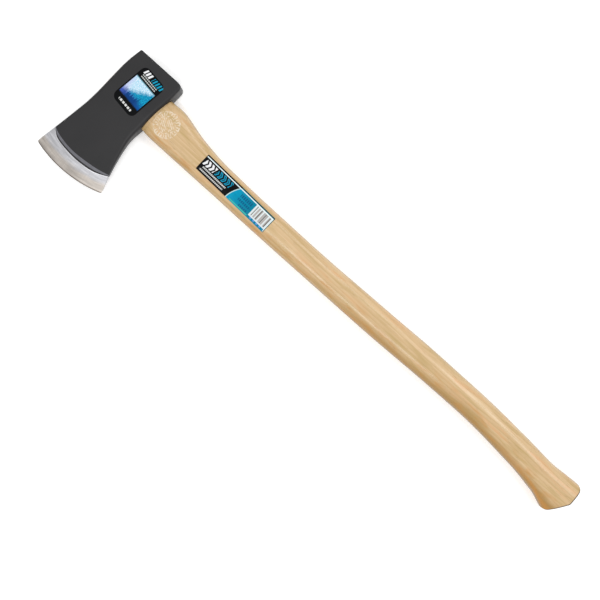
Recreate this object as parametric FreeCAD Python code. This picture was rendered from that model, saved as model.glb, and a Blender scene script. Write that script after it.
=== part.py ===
import FreeCAD, Part

import math
import os

# Felling axe: a forged head wedged on a curved hardwood handle.
#
# Millimetres. The axe lies on its side. While it is being built, the origin is the centre of the
# eye: +X runs down the handle from the head to the knob, +Y runs from the cutting edge to the poll,
# and +Z comes out of the upper cheek. At the end everything moves together, so that the origin is
# the middle of the whole outline, on the level that the lower cheek rests on.

# ---- driving dimensions: eye and its fit ---------------------------------------------------------
EYE_LENGTH = 60.0            # along Y, at the head's underside
EYE_WIDTH = 21.2             # along Z, at the head's underside
EYE_HEIGHT = 82.0            # along X, through the head at the eye's centre
EYE_FLARE = 2.4              # how much longer and wider the eye is at its top
EYE_FULLNESS = 2.5           # 2 is an ellipse, more is squarer
EYE_TEARDROP = 0.13          # how much the oval narrows towards the cutting edge
EYE_CLEARANCE = 0.12         # gap left between the eye's wall and the wood

# ---- driving dimensions: head --------------------------------------------------------------------
CHEEK_THICKNESS = 32.6       # over the two flat cheeks at the eye
CHEEK_SWELL = 0.6            # how far the forging stands over that before the cheeks are ground flat
POLL_DEPTH = 25.8            # solid steel behind the eye
POLL_THICKNESS = 30.2
POLL_TOP = 35.2              # poll's upper corner above the eye's centre line
POLL_BOTTOM = 45.3           # poll's lower corner below the eye's centre line
POLL_HEEL_RADIUS = 8.0       # the rounded lower corner of the poll
POLL_EDGE_RADIUS = 1.2       # softened edge round the poll's striking face
BIT_LENGTH = 120.8           # from the eye's front end to the cutting edge
BIT_WAIST = 37.5             # underside of the bit at its narrowest, below the centre line
TOE_HEIGHT = 63.2            # upper corner of the edge above the centre line
HEEL_HEIGHT = 57.8           # lower corner of the edge below the centre line
EDGE_ARC_RADIUS = 197.0      # sweep of the cutting edge
EDGE_ARC_CENTRE = -11.0      # X of the sweep's foremost point
EDGE_THICKNESS = 0.5
BLADE_THICKNESS = 8.4        # where the ground bevel starts
FINE_BEVEL_THICKNESS = 4.6   # where the last, steeper bevel starts
BEVEL_WIDTH = 29.0           # ground part of the blade, behind the edge
FINE_BEVEL_WIDTH = 13.3

# ---- driving dimensions: handle ------------------------------------------------------------------
HANDLE_LENGTH = 908.6        # overall, from the sawn top in the eye to the knob's end face
SHOULDER_LEDGE = 0.5         # how far the shoulder stands outside the eye, front and back
SHOULDER_THICKNESS = 25.0
GRIP_DEPTH = 42.8
GRIP_THICKNESS = 26.6
NECK_DEPTH = 43.6
NECK_THICKNESS = 28.6
KNOB_THICKNESS = 29.6
KNOB_FACE = 19.0             # front end of the square end face, down from the eye's centre line
KNOB_DROP = 18.7             # heel of the knob, beyond the line of the handle's straight front
KNOB_CUT_ANGLE = 33.0        # slope of the heel's cut against the end face
KNOB_HEEL_RADIUS = 9.0
KNOB_BACK_RADIUS = 9.0
KNOB_RIM_RADIUS = 1.6

# ---- driving dimensions: wedges ------------------------------------------------------------------
KERF_WIDTH = 1.6
KERF_SHARE = 0.76            # depth of the saw cut in the tongue, as a share of the eye's height
WOOD_WEDGE_SHARE = 0.64      # depth of the wooden wedge, as a share of the eye's height
WOOD_WEDGE_THICKNESS = 6.4   # at the top
STEEL_WEDGE_WIDTH = 0.86 * EYE_WIDTH
STEEL_WEDGE_SHARE = 0.33     # depth of a steel wedge, as a share of the eye's height
STEEL_WEDGE_THICKNESS = 3.4  # at the top
STEEL_WEDGE_TIP = 0.8
STEEL_WEDGE_BARBS = 3
STEEL_WEDGE_BARB = 0.3       # height of each barb
STEEL_WEDGE_PITCH = 0.43 * EYE_LENGTH
STEEL_WEDGE_TURN = 52.0      # degrees across the wooden wedge
WEDGE_SUNK = 0.5             # how far the wedges are driven below the sawn top

# ---- driving dimensions: labels ------------------------------------------------------------------
LABEL_THICKNESS = 0.2
HEAD_LABEL_WIDTH = 44.0
HEAD_LABEL_HEIGHT = 66.0
HEAD_LABEL_RADIUS = 9.0
HEAD_LABEL_TURN = -8.0       # degrees
HEAD_LABEL_X = 3.4
HEAD_LABEL_Y = 7.5
HANDLE_LABEL_LENGTH = 134.0
HANDLE_LABEL_WIDTH = 27.4
HANDLE_LABEL_RADIUS = 0.8
HANDLE_LABEL_TURN = -2.0     # degrees
HANDLE_LABEL_START = 97.0    # from the middle of the head's underside to the label
HANDLE_LABEL_Y = -7.7

# ---- places worked out from the sizes ------------------------------------------------------------
MARGIN = 6.0                 # how far tools run past what they cut
RING_POINTS = 48             # points round one oval section
FINE_POINTS = 960            # points that those are picked from
EYE_BACK = EYE_LENGTH / 2
EYE_FRONT = -EYE_LENGTH / 2
UNDERSIDE = EYE_HEIGHT / 2
POLL_FACE = EYE_BACK + POLL_DEPTH
EDGE_Y = EYE_FRONT - BIT_LENGTH
FRONT_LINE = EYE_FRONT - SHOULDER_LEDGE - 0.9


def vec(x, y, z=0.0):
    return FreeCAD.Vector(x, y, z)


def mix(a, b, share):
    return a + (b - a) * share


TOP_AT_EYE_BACK = mix(POLL_TOP, UNDERSIDE, 0.72)
TOP_AT_EYE_FRONT = mix(UNDERSIDE, TOE_HEIGHT, 0.085)
BOTTOM_AT_EYE_BACK = mix(POLL_BOTTOM, UNDERSIDE, 0.16)
LEDGE_X = BOTTOM_AT_EYE_BACK + 0.3          # where the shoulder starts, clear of the underside
HANDLE_END = HANDLE_LENGTH - TOP_AT_EYE_FRONT


def wire_of(curves):
    return Part.Wire([c.toShape() for c in curves])


def prism(wire, z_low, z_high):
    """Solid with a flat outline in XY, from z_low to z_high."""
    face = Part.Face(wire)
    face.translate(vec(0, 0, z_low))
    return face.extrude(vec(0, 0, z_high - z_low))


def rounded_polygon(corners, radii):
    """Closed outline in XY through the corners, each rounded by its own radius (0 keeps it sharp)."""
    count = len(corners)
    cuts = []
    for i in range(count):
        here = vec(*corners[i])
        back = vec(*corners[i - 1]) - here
        ahead = vec(*corners[(i + 1) % count]) - here
        back.normalize()
        ahead.normalize()
        half = math.acos(max(-1.0, min(1.0, back.dot(ahead)))) / 2
        reach = radii[i] / math.tan(half)
        bisector = back + ahead
        bisector.normalize()
        middle = here + bisector * (radii[i] / math.sin(half) - radii[i])
        cuts.append((here + back * reach, middle, here + ahead * reach))
    curves = []
    for i in range(count):
        start, middle, end = cuts[i]
        if radii[i] > 0:
            curves.append(Part.Arc(start, middle, end))
        following = cuts[(i + 1) % count][0]
        if (following - end).Length > 1e-6:
            curves.append(Part.LineSegment(end, following))
    return wire_of(curves)


def oval_points(back, front, thickness, side, end, teardrop, grow):
    """Many points round an oval, as (Y, Z), from the back round over the upper side."""
    centre, half = (back + front) / 2, (back - front) / 2
    points = []
    for i in range(FINE_POINTS + 1):
        a = 2 * math.pi * i / FINE_POINTS
        along = math.copysign(abs(math.cos(a)) ** (2 / side), math.cos(a))
        out = math.copysign(abs(math.sin(a)) ** (2 / end), math.sin(a))
        z = (thickness / 2 * (1 + teardrop * along) + grow) * out
        points.append((centre + (half + grow) * along, z))
    return points


def evenly_spaced(points, count):
    """The same closed outline as count points at equal distances along it."""
    lengths = [0.0]
    for (y0, z0), (y1, z1) in zip(points, points[1:]):
        lengths.append(lengths[-1] + math.hypot(y1 - y0, z1 - z0))
    spaced, at = [], 0
    for i in range(count):
        target = lengths[-1] * i / count
        while lengths[at + 1] < target:
            at += 1
        share = (target - lengths[at]) / (lengths[at + 1] - lengths[at])
        spaced.append((mix(points[at][0], points[at + 1][0], share),
                       mix(points[at][1], points[at + 1][1], share)))
    return spaced


def oval(x, back, front, thickness, side=2.35, end=2.35, teardrop=0.1, grow=0.0):
    """
    Closed oval section at x, from back to front along Y. Side above 2 flattens the two sides, end
    below 2 points the two ends, teardrop narrows the front, and grow adds a skin all round.
    """
    fine = oval_points(back, front, thickness, side, end, teardrop, grow)
    points = [vec(x, y, z) for y, z in evenly_spaced(fine, RING_POINTS)]
    curve = Part.BSplineCurve()
    steps = [i / RING_POINTS for i in range(RING_POINTS + 1)]
    curve.interpolate(Points=points, Parameters=steps, PeriodicFlag=True)
    return Part.Wire([curve.toShape()])


# ---- head ----------------------------------------------------------------------------------------
def head_section(y, top, bottom, thickness, radius):
    """Rounded rectangle across the head at y: top and bottom are its reach from the centre line."""
    r = min(radius, 0.45 * thickness)
    half = thickness / 2
    mid = r * (1 - math.sqrt(0.5))
    up, down = -top, bottom

    def corner(sx, sz, x_end):
        return Part.Arc(vec(x_end, y, sz * (half - r)), vec(x_end - sx * mid, y, sz * (half - mid)),
                        vec(x_end - sx * r, y, sz * half))

    def line(x0, z0, x1, z1):
        return Part.LineSegment(vec(x0, y, z0), vec(x1, y, z1))

    return wire_of([
        line(up, -half + r, up, half - r), corner(-1, 1, up),
        line(up + r, half, down - r, half), corner(1, 1, down),
        line(down, half - r, down, -half + r), corner(1, -1, down),
        line(down - r, -half, up + r, -half), corner(-1, -1, up),
    ])


def bit_y(share):
    """Y of a place along the bit: 0 at the eye's front end, 1 at the cutting edge."""
    return mix(EYE_FRONT, EDGE_Y, share)


def forged_block(grow=0.0):
    """The head before grinding: smooth sections from the poll to just past the cutting edge."""
    top, bottom = UNDERSIDE, UNDERSIDE
    widest = CHEEK_THICKNESS + CHEEK_SWELL
    rows = [
        # y, top, bottom, thickness, corner radius
        (POLL_FACE, POLL_TOP, POLL_BOTTOM, POLL_THICKNESS, 3.2),
        (EYE_BACK, TOP_AT_EYE_BACK, BOTTOM_AT_EYE_BACK, widest - 0.4, 4.2),
        (0.0, top, bottom, widest, 4.6),
        (EYE_FRONT, TOP_AT_EYE_FRONT, mix(bottom, BIT_WAIST, 0.56), 26.6, 4.6),
        (bit_y(0.17), mix(top, TOE_HEIGHT, 0.20), BIT_WAIST, 20.2, 4.2),
        (bit_y(0.38), mix(top, TOE_HEIGHT, 0.41), mix(BIT_WAIST, HEEL_HEIGHT, 0.15), 14.0, 3.4),
        (bit_y(0.57), mix(top, TOE_HEIGHT, 0.60), mix(BIT_WAIST, HEEL_HEIGHT, 0.40), 10.8, 2.6),
        (bit_y(0.76), mix(top, TOE_HEIGHT, 0.80), mix(BIT_WAIST, HEEL_HEIGHT, 0.72),
         BLADE_THICKNESS, 2.0),
        (bit_y(1.05), mix(top, TOE_HEIGHT, 1.13), mix(BIT_WAIST, HEEL_HEIGHT, 1.28),
         BLADE_THICKNESS - 3.0, 1.2),
    ]
    sections = [head_section(y, up, down, thick + 2 * grow, r) for y, up, down, thick, r in rows]
    return Part.makeLoft(sections, True, False)


def cheek_slab(thickness):
    """What is left when both cheeks are ground flat to this thickness."""
    reach = 2 * (EYE_LENGTH + BIT_LENGTH + POLL_DEPTH)
    return Part.makeBox(2 * reach, 2 * reach, thickness, vec(-reach, -reach, -thickness / 2))


def edge_y_at(x):
    """Y of the cutting edge's sweep at x."""
    centre = EDGE_Y + EDGE_ARC_RADIUS
    return centre - math.sqrt(EDGE_ARC_RADIUS ** 2 - (x - EDGE_ARC_CENTRE) ** 2)


def head_outline():
    """Side outline that trims the forging: the edge's sweep and the poll's rounded lower corner."""
    toe, heel = -TOE_HEIGHT - MARGIN, HEEL_HEIGHT + MARGIN
    r, x, y = POLL_HEEL_RADIUS, POLL_BOTTOM, POLL_FACE
    inset = r * (1 - math.sqrt(0.5))
    return wire_of([
        Part.Arc(vec(toe, edge_y_at(toe)), vec(EDGE_ARC_CENTRE, EDGE_Y), vec(heel, edge_y_at(heel))),
        Part.LineSegment(vec(heel, edge_y_at(heel)), vec(heel, y - r)),
        Part.LineSegment(vec(heel, y - r), vec(x, y - r)),
        Part.Arc(vec(x, y - r), vec(x - inset, y - inset), vec(x - r, y)),
        Part.LineSegment(vec(x - r, y), vec(toe, y)),
        Part.LineSegment(vec(toe, y), vec(toe, edge_y_at(toe))),
    ])


def bevel_body():
    """Body of revolution about the sweep's axis that carries both ground bevels of the edge."""
    fine_slope = (FINE_BEVEL_THICKNESS - EDGE_THICKNESS) / 2 / FINE_BEVEL_WIDTH
    slope = (BLADE_THICKNESS - FINE_BEVEL_THICKNESS) / 2 / (BEVEL_WIDTH - FINE_BEVEL_WIDTH)
    run_out = 2.4 * BEVEL_WIDTH
    outer = EDGE_ARC_RADIUS + 1.0
    inner = EDGE_ARC_RADIUS - BEVEL_WIDTH - run_out
    steps = [
        (0.0, CHEEK_THICKNESS),
        (inner, CHEEK_THICKNESS),
        (inner, BLADE_THICKNESS / 2 + slope * run_out),
        (EDGE_ARC_RADIUS - FINE_BEVEL_WIDTH, FINE_BEVEL_THICKNESS / 2),
        (outer, EDGE_THICKNESS / 2 - fine_slope),
    ]
    upper = [vec(r, 0, z) for r, z in steps]
    lower = [vec(r, 0, -z) for r, z in reversed(steps)]
    body = Part.Face(Part.makePolygon(upper + lower + [upper[0]])).revolve(
        vec(0, 0, 0), vec(0, 0, 1), 360)
    body.translate(vec(EDGE_ARC_CENTRE, EDGE_Y + EDGE_ARC_RADIUS))
    return body


def eye_form(gap, x_top, x_bottom):
    """The eye's tapered oval, smaller by gap all round, between two X places."""
    def section(x):
        grow = EYE_FLARE * (UNDERSIDE - x) / EYE_HEIGHT - 2 * gap
        half = (EYE_LENGTH + grow) / 2
        return oval(x, half, -half, EYE_WIDTH + grow, EYE_FULLNESS, EYE_FULLNESS, EYE_TEARDROP)
    return Part.makeLoft([section(x_top), section(x_bottom)], True, True)


def soften_poll(body):
    """Round the edge of the poll's striking face."""
    edges = []
    for face in body.Faces:
        if abs(face.CenterOfMass.y - POLL_FACE) < 1e-6:
            edges += face.Edges
    return body.makeFillet(POLL_EDGE_RADIUS, edges)


def make_head():
    """The forged and ground head, with its eye."""
    outline = prism(head_outline(), -CHEEK_THICKNESS, CHEEK_THICKNESS)
    body = forged_block().common(cheek_slab(CHEEK_THICKNESS)).common(outline).common(bevel_body())
    body = soften_poll(body)
    return body.cut(eye_form(0.0, -TOE_HEIGHT - MARGIN, POLL_BOTTOM + MARGIN))


# ---- handle --------------------------------------------------------------------------------------
def grip_rows():
    """
    Stations of the handle below the head: X, back and front along Y, thickness, side and end
    fullness, teardrop. The front is straight down to the neck and then sweeps out to the knob.
    """
    shoulder = EYE_BACK + SHOULDER_LEDGE
    grip = FRONT_LINE + GRIP_DEPTH
    neck = FRONT_LINE + NECK_DEPTH
    front = FRONT_LINE
    wide, thick, stout = SHOULDER_THICKNESS, GRIP_THICKNESS, NECK_THICKNESS
    oval_eye = (EYE_FULLNESS, EYE_FULLNESS, EYE_TEARDROP)

    def down(distance):
        return UNDERSIDE + distance

    def up(distance):
        return HANDLE_END - distance

    return [
        (LEDGE_X, shoulder - 0.3, EYE_FRONT - SHOULDER_LEDGE, wide - 2.0) + oval_eye,
        (down(12), shoulder + 0.2, front + 0.3, wide, 2.9, 2.3, 0.12),
        (down(30), shoulder + 0.3, front, wide + 0.6, 3.3, 2.0, 0.12),
        (down(39), shoulder - 1.4, front, wide + 0.9, 3.4, 1.9, 0.12),
        (down(56), shoulder - 5.6, front, wide + 1.3, 3.4, 1.8, 0.11),
        (down(73), shoulder - 9.7, front, wide + 1.6, 3.2, 1.8, 0.10),
        (down(91), grip + 6.6, front, wide + 1.7, 3.0, 1.8, 0.08),
        (down(117), grip + 3.3, front, thick, 2.8, 1.85, 0.06),
        (down(147), grip + 2.0, front, thick, 2.6, 1.9, 0.05),
        (down(176), grip + 1.0, front - 0.3, thick, 2.5, 1.95, 0.04),
        (down(234), grip + 0.4, front - 0.5, thick, 2.4, 2.0, 0.04),
        (down(292), grip, front - 0.3, thick, 2.4, 2.0, 0.04),
        (down(351), grip + 0.5, front + 0.1, thick, 2.4, 2.0, 0.04),
        (down(409), grip + 1.9, front + 0.3, thick, 2.4, 2.0, 0.04),
        (down(468), grip + 3.2, front + 1.2, thick + 0.4, 2.4, 2.0, 0.04),
        (up(303), neck + 3.9, front + 2.9, stout - 0.8, 2.4, 2.0, 0.03),
        (up(244), neck + 4.1, front + 4.0, stout, 2.4, 2.0, 0.02),
        (up(186), neck + 3.8, front + 3.9, stout, 2.4, 2.0, 0.02),
        (up(150), neck + 2.6, front + 1.9, stout, 2.4, 2.0, 0.02),
        (up(120), neck + 1.0, front - 0.6, stout, 2.4, 2.05, 0.02),
        (up(98), neck - 0.2, front - 2.5, stout + 0.3, 2.4, 2.1, 0.02),
        (up(78), neck - 1.7, front - 5.1, stout + 0.6, 2.4, 2.15, 0.02),
        (up(63), neck - 2.8, front - 7.8, KNOB_THICKNESS - 0.1, 2.4, 2.2, 0.03),
        (up(50), neck - 3.2, front - 10.2, KNOB_THICKNESS, 2.4, 2.2, 0.04),
        (up(38), neck - 2.3, front - 14.2, KNOB_THICKNESS, 2.4, 2.2, 0.05),
        (up(26), neck - 1.5, front - 18.8, KNOB_THICKNESS, 2.4, 2.2, 0.06),
        (up(12), neck - 0.7, front - 23.6, KNOB_THICKNESS, 2.4, 2.2, 0.07),
        (up(-10), neck, front - 30.0, KNOB_THICKNESS, 2.4, 2.2, 0.08),
    ]


def grip_body(grow=0.0):
    """The handle below the head, still long at the knob, with a skin of grow all round."""
    return Part.makeLoft([oval(*row, grow=grow) for row in grip_rows()], True, False)


def knob_outline():
    """Side outline that the knob is sawn to: square end face, sloping heel cut, rounded corners."""
    slope = math.tan(math.radians(KNOB_CUT_ANGLE))
    back = FRONT_LINE + NECK_DEPTH + 0.2
    heel = FRONT_LINE - KNOB_DROP
    cut_end = HANDLE_END - slope * (-KNOB_FACE - heel)
    start = -EYE_HEIGHT
    return rounded_polygon(
        [(start, 4 * back), (HANDLE_END - 3 * KNOB_BACK_RADIUS, 4 * back),
         (HANDLE_END - 3 * KNOB_BACK_RADIUS, back), (HANDLE_END, back), (HANDLE_END, -KNOB_FACE),
         (cut_end, heel), (start, heel)],
        [0, 0, 0, KNOB_BACK_RADIUS, 3.0, KNOB_HEEL_RADIUS, 0])


def soften_knob(body):
    """Round the rim where the knob's sawn faces meet the turned sides."""
    limit = HANDLE_END - 34.0
    edges = []
    for edge in body.Edges:
        box = edge.BoundBox
        spans_sides = box.ZLength > 0.5 * KNOB_THICKNESS or abs(box.Center.z) > 1.0
        if box.XMin > limit and spans_sides and box.ZLength > 0.05:
            edges.append(edge)
    return edges


def saw_top(sunk):
    """Everything above the sawn top, which is cut flush with the head and sunk by this much."""
    back, front = 3 * EYE_BACK, 3 * EYE_FRONT
    slope = (TOP_AT_EYE_FRONT - TOP_AT_EYE_BACK) / EYE_LENGTH
    middle = (TOP_AT_EYE_FRONT + TOP_AT_EYE_BACK) / 2 - sunk
    outline = Part.makePolygon([
        vec(-middle + slope * back, back), vec(-middle + slope * front, front),
        vec(-3 * TOE_HEIGHT, front), vec(-3 * TOE_HEIGHT, back),
        vec(-middle + slope * back, back)])
    return prism(outline, -CHEEK_THICKNESS, CHEEK_THICKNESS)


# ---- wedges --------------------------------------------------------------------------------------
def top_x():
    """X of the sawn top at the eye's centre line."""
    return -(TOP_AT_EYE_FRONT + TOP_AT_EYE_BACK) / 2


def wood_wedge_slot():
    """Tapered slab along the whole eye that the wooden wedge fills, open at the top."""
    top = top_x()
    depth = WOOD_WEDGE_SHARE * EYE_HEIGHT
    taper = (WOOD_WEDGE_THICKNESS - KERF_WIDTH) / 2 / depth
    above = 2 * MARGIN
    wide, narrow = WOOD_WEDGE_THICKNESS / 2 + taper * above, KERF_WIDTH / 2
    face = Part.Face(Part.makePolygon([
        vec(top - above, 0, wide), vec(top + depth, 0, narrow), vec(top + depth, 0, -narrow),
        vec(top - above, 0, -wide), vec(top - above, 0, wide)]))
    face.translate(vec(0, -EYE_LENGTH))
    return face.extrude(vec(0, 2 * EYE_LENGTH))


def kerf():
    """The saw cut in the tongue that the wooden wedge opens."""
    top = top_x()
    depth = KERF_SHARE * EYE_HEIGHT
    return Part.makeBox(depth, 2 * EYE_LENGTH, KERF_WIDTH, vec(top, -EYE_LENGTH, -KERF_WIDTH / 2))


def steel_wedge_at(y, rise):
    """One barbed steel wedge across the eye at y, drawn out upwards by rise above its own top."""
    depth = STEEL_WEDGE_SHARE * EYE_HEIGHT
    slope = (STEEL_WEDGE_THICKNESS - STEEL_WEDGE_TIP) / 2 / depth

    def half_at(d):
        return STEEL_WEDGE_THICKNESS / 2 - slope * d

    side = [(-rise, half_at(0)), (0.0, half_at(0))]
    for i in range(1, STEEL_WEDGE_BARBS + 1):
        d = depth * i / (STEEL_WEDGE_BARBS + 1)
        side += [(d, half_at(d) - STEEL_WEDGE_BARB), (d, half_at(d))]
    side.append((depth, half_at(depth)))
    if rise == 0:
        side = side[1:]
    ring = [vec(d, 0, z) for d, z in side] + [vec(d, 0, -z) for d, z in reversed(side)]
    body = Part.Face(Part.makePolygon(ring + [ring[0]])).extrude(vec(0, STEEL_WEDGE_WIDTH))
    body.translate(vec(0, -STEEL_WEDGE_WIDTH / 2))
    body.rotate(vec(0, 0, 0), vec(1, 0, 0), STEEL_WEDGE_TURN)
    slant = (TOP_AT_EYE_FRONT - TOP_AT_EYE_BACK) / EYE_LENGTH
    body.translate(vec(top_x() + slant * y + 2 * WEDGE_SUNK, y))
    return body


def wedge_places():
    return {"steel_wedge_rear": STEEL_WEDGE_PITCH / 2, "steel_wedge_front": -STEEL_WEDGE_PITCH / 2}


def make_steel_wedges():
    """The two cross wedges, by node."""
    return {node: steel_wedge_at(y, 0) for node, y in wedge_places().items()}


def steel_slots():
    """The places the cross wedges are driven into, open at the top."""
    return [steel_wedge_at(y, MARGIN) for y in wedge_places().values()]


def make_wooden_wedge():
    """The kerf wedge, driven in and sawn off, split open by the cross wedges."""
    body = wood_wedge_slot().common(eye_form(EYE_CLEARANCE, top_x() - 2 * MARGIN, LEDGE_X))
    body = body.cut(saw_top(WEDGE_SUNK))
    for slot in steel_slots():
        body = body.cut(slot)
    return body


def make_handle():
    """One stick of wood: tongue in the eye, shoulder, grip, neck and knob."""
    tongue = eye_form(EYE_CLEARANCE, top_x() - 2 * MARGIN, LEDGE_X + 2.0).cut(saw_top(0.0))
    grip = grip_body().common(prism(knob_outline(), -2 * KNOB_THICKNESS, 2 * KNOB_THICKNESS))
    grip = grip.makeFillet(KNOB_RIM_RADIUS, soften_knob(grip))
    body = tongue.fuse(grip).cut(wood_wedge_slot()).cut(kerf())
    for slot in steel_slots():
        body = body.cut(slot)
    return body


# ---- labels --------------------------------------------------------------------------------------
def label_outline(length, width, radius, turn, x, y):
    """Rounded rectangle in XY, length along X, turned about its own middle."""
    a, b = length / 2, width / 2
    outline = rounded_polygon([(-a, -b), (a, -b), (a, b), (-a, b)], [radius] * 4)
    outline.rotate(vec(0, 0, 0), vec(0, 0, 1), turn)
    outline.translate(vec(x, y))
    return outline


def make_head_label():
    """The sticker on the upper cheek, bent over the cheek as it falls away to the bit."""
    outline = label_outline(HEAD_LABEL_WIDTH, HEAD_LABEL_HEIGHT, HEAD_LABEL_RADIUS,
                            HEAD_LABEL_TURN, HEAD_LABEL_X, HEAD_LABEL_Y)
    skin = forged_block(LABEL_THICKNESS).common(cheek_slab(CHEEK_THICKNESS + 2 * LABEL_THICKNESS))
    inside = forged_block().common(cheek_slab(CHEEK_THICKNESS))
    return skin.common(prism(outline, 0, CHEEK_THICKNESS)).cut(inside)


def make_handle_label():
    """The sticker wrapped over the upper side of the handle."""
    outline = label_outline(HANDLE_LABEL_LENGTH, HANDLE_LABEL_WIDTH, HANDLE_LABEL_RADIUS,
                            HANDLE_LABEL_TURN,
                            UNDERSIDE + HANDLE_LABEL_START + HANDLE_LABEL_LENGTH / 2, HANDLE_LABEL_Y)
    return grip_body(LABEL_THICKNESS).common(prism(outline, 0, KNOB_THICKNESS)).cut(grip_body())


# ---- the whole axe -------------------------------------------------------------------------------
def make_axe():
    """Every node's solid, in the building frame."""
    nodes = {
        "axe_head": make_head(),
        "handle": make_handle(),
        "wooden_wedge": make_wooden_wedge(),
        "head_label": make_head_label(),
        "handle_label": make_handle_label(),
    }
    nodes.update(make_steel_wedges())
    return nodes


def to_row_frame(nodes):
    """Move every node together: middle of the outline to X = Y = 0, lowest point to Z = 0."""
    boxes = [shape.optimalBoundingBox() for shape in nodes.values()]
    x = (min(b.XMin for b in boxes) + max(b.XMax for b in boxes)) / 2
    y = (min(b.YMin for b in boxes) + max(b.YMax for b in boxes)) / 2
    z = min(b.ZMin for b in boxes)
    for shape in nodes.values():
        shape.translate(vec(-x, -y, -z))


def main():
    os.makedirs("parts", exist_ok=True)
    nodes = make_axe()
    to_row_frame(nodes)
    for node, shape in nodes.items():
        shape.exportStep(f"parts/{node}.step")


if __name__ == "__main__":
    main()
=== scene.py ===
"""A felling axe: the looks of its head, handle, wedges and stickers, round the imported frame."""

import logging
import math
from dataclasses import dataclass, field, replace
from enum import Enum
from typing import Callable, Optional, Sequence, Union

import bmesh
import bpy
import numpy as np
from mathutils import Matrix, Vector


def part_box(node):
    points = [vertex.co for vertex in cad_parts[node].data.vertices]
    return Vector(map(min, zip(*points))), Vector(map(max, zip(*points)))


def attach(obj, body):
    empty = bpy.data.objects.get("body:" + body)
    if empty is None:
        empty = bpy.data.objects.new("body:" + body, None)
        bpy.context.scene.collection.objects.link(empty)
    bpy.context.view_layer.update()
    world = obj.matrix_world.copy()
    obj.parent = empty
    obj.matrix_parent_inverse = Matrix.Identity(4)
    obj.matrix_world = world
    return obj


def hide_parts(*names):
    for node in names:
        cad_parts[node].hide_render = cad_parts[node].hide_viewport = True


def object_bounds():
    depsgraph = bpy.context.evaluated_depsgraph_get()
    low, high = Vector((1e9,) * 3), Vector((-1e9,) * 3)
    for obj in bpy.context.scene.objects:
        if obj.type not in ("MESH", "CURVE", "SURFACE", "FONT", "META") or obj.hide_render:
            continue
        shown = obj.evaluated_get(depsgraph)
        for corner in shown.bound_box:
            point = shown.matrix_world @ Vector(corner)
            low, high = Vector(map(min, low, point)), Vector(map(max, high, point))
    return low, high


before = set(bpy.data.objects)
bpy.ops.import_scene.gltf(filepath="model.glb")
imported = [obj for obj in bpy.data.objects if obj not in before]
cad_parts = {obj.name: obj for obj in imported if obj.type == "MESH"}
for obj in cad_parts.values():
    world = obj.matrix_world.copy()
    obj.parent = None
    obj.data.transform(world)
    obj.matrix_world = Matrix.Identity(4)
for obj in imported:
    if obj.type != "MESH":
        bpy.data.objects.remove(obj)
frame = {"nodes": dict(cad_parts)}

CAD_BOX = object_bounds()
LOG = logging.getLogger("felling_axe")
MM = 0.001
HALVINGS = 44  # steps of each search by halving
Tree = bpy.types.NodeTree
Socket = bpy.types.NodeSocket
Material = bpy.types.Material
Body = bpy.types.Object
Value = Union[float, Sequence[float], Socket]
Amount = Union[float, np.ndarray]
Height = Callable[[np.ndarray, np.ndarray], np.ndarray]


class Slot(Enum):
    """The record's material slots of the pieces made here."""

    HEAD_PAINT = "head_paint"
    HANDLE_WOOD = "handle_wood"
    HEAD_STICKER = "head_sticker"
    HANDLE_STICKER = "handle_sticker"


# ---- shared tools --------------------------------------------------------------------------------
def linear(code: str) -> tuple[float, float, float, float]:
    """Turn an sRGB hex colour into linear RGBA.

    Args:
        code: six hex digits.

    Returns:
        Linear red, green, blue and an alpha of 1.
    """
    parts = [int(code[i:i + 2], 16) / 255 for i in (0, 2, 4)]
    red, green, blue = [p / 12.92 if p <= 0.04045 else ((p + 0.055) / 1.055) ** 2.4 for p in parts]
    return (red, green, blue, 1.0)


def add_node(tree: Tree, kind: str, inputs: Optional[dict] = None,
             **settings: object) -> bpy.types.Node:
    """Add one node with its settings, values and links.

    Args:
        tree: the node tree.
        kind: the node's type name, without the ShaderNode that all of them start with.
        inputs: values or sockets, by input name or number.
        settings: properties of the node itself.

    Returns:
        The new node.
    """
    node = tree.nodes.new("ShaderNode" + kind)
    for name, value in settings.items():
        setattr(node, name, value)
    for name, value in (inputs or {}).items():
        if isinstance(value, Socket):
            tree.links.new(value, node.inputs[name])
        else:
            node.inputs[name].default_value = value
    return node


def new_material(name: str) -> tuple[Material, Tree, Socket]:
    """Start an empty node material.

    Args:
        name: the material's name.

    Returns:
        The material, its node tree and the position in the shared frame.
    """
    material = bpy.data.materials.new(name)
    material.use_nodes = True
    material.node_tree.nodes.clear()
    return material, material.node_tree, add_node(material.node_tree, "TexCoord").outputs["Object"]


def streaks(tree: Tree, place: Socket, scale: tuple[float, float, float],
            detail: float = 2.0, roughness: float = 0.5) -> Socket:
    """Draw soft noise out along one way, as grain and scratches are.

    Args:
        tree: the node tree.
        place: where the noise is looked up.
        scale: blobs for each unit of place along its three axes.
        detail: how many finer layers are added.
        roughness: how strong the finer layers are.

    Returns:
        The noise, 0 to 1.
    """
    drawn = add_node(tree, "Mapping", {"Vector": place, "Scale": scale})
    return add_node(tree, "TexNoise", {
        "Vector": drawn.outputs[0], "Scale": 1.0, "Detail": detail,
        "Roughness": roughness}).outputs["Fac"]


def close_material(tree: Tree, surface: dict) -> None:
    """End a material with its surface shader, given by its inputs, and the output."""
    shader = add_node(tree, "BsdfPrincipled", surface)
    add_node(tree, "OutputMaterial", {"Surface": shader.outputs["BSDF"]})


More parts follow.
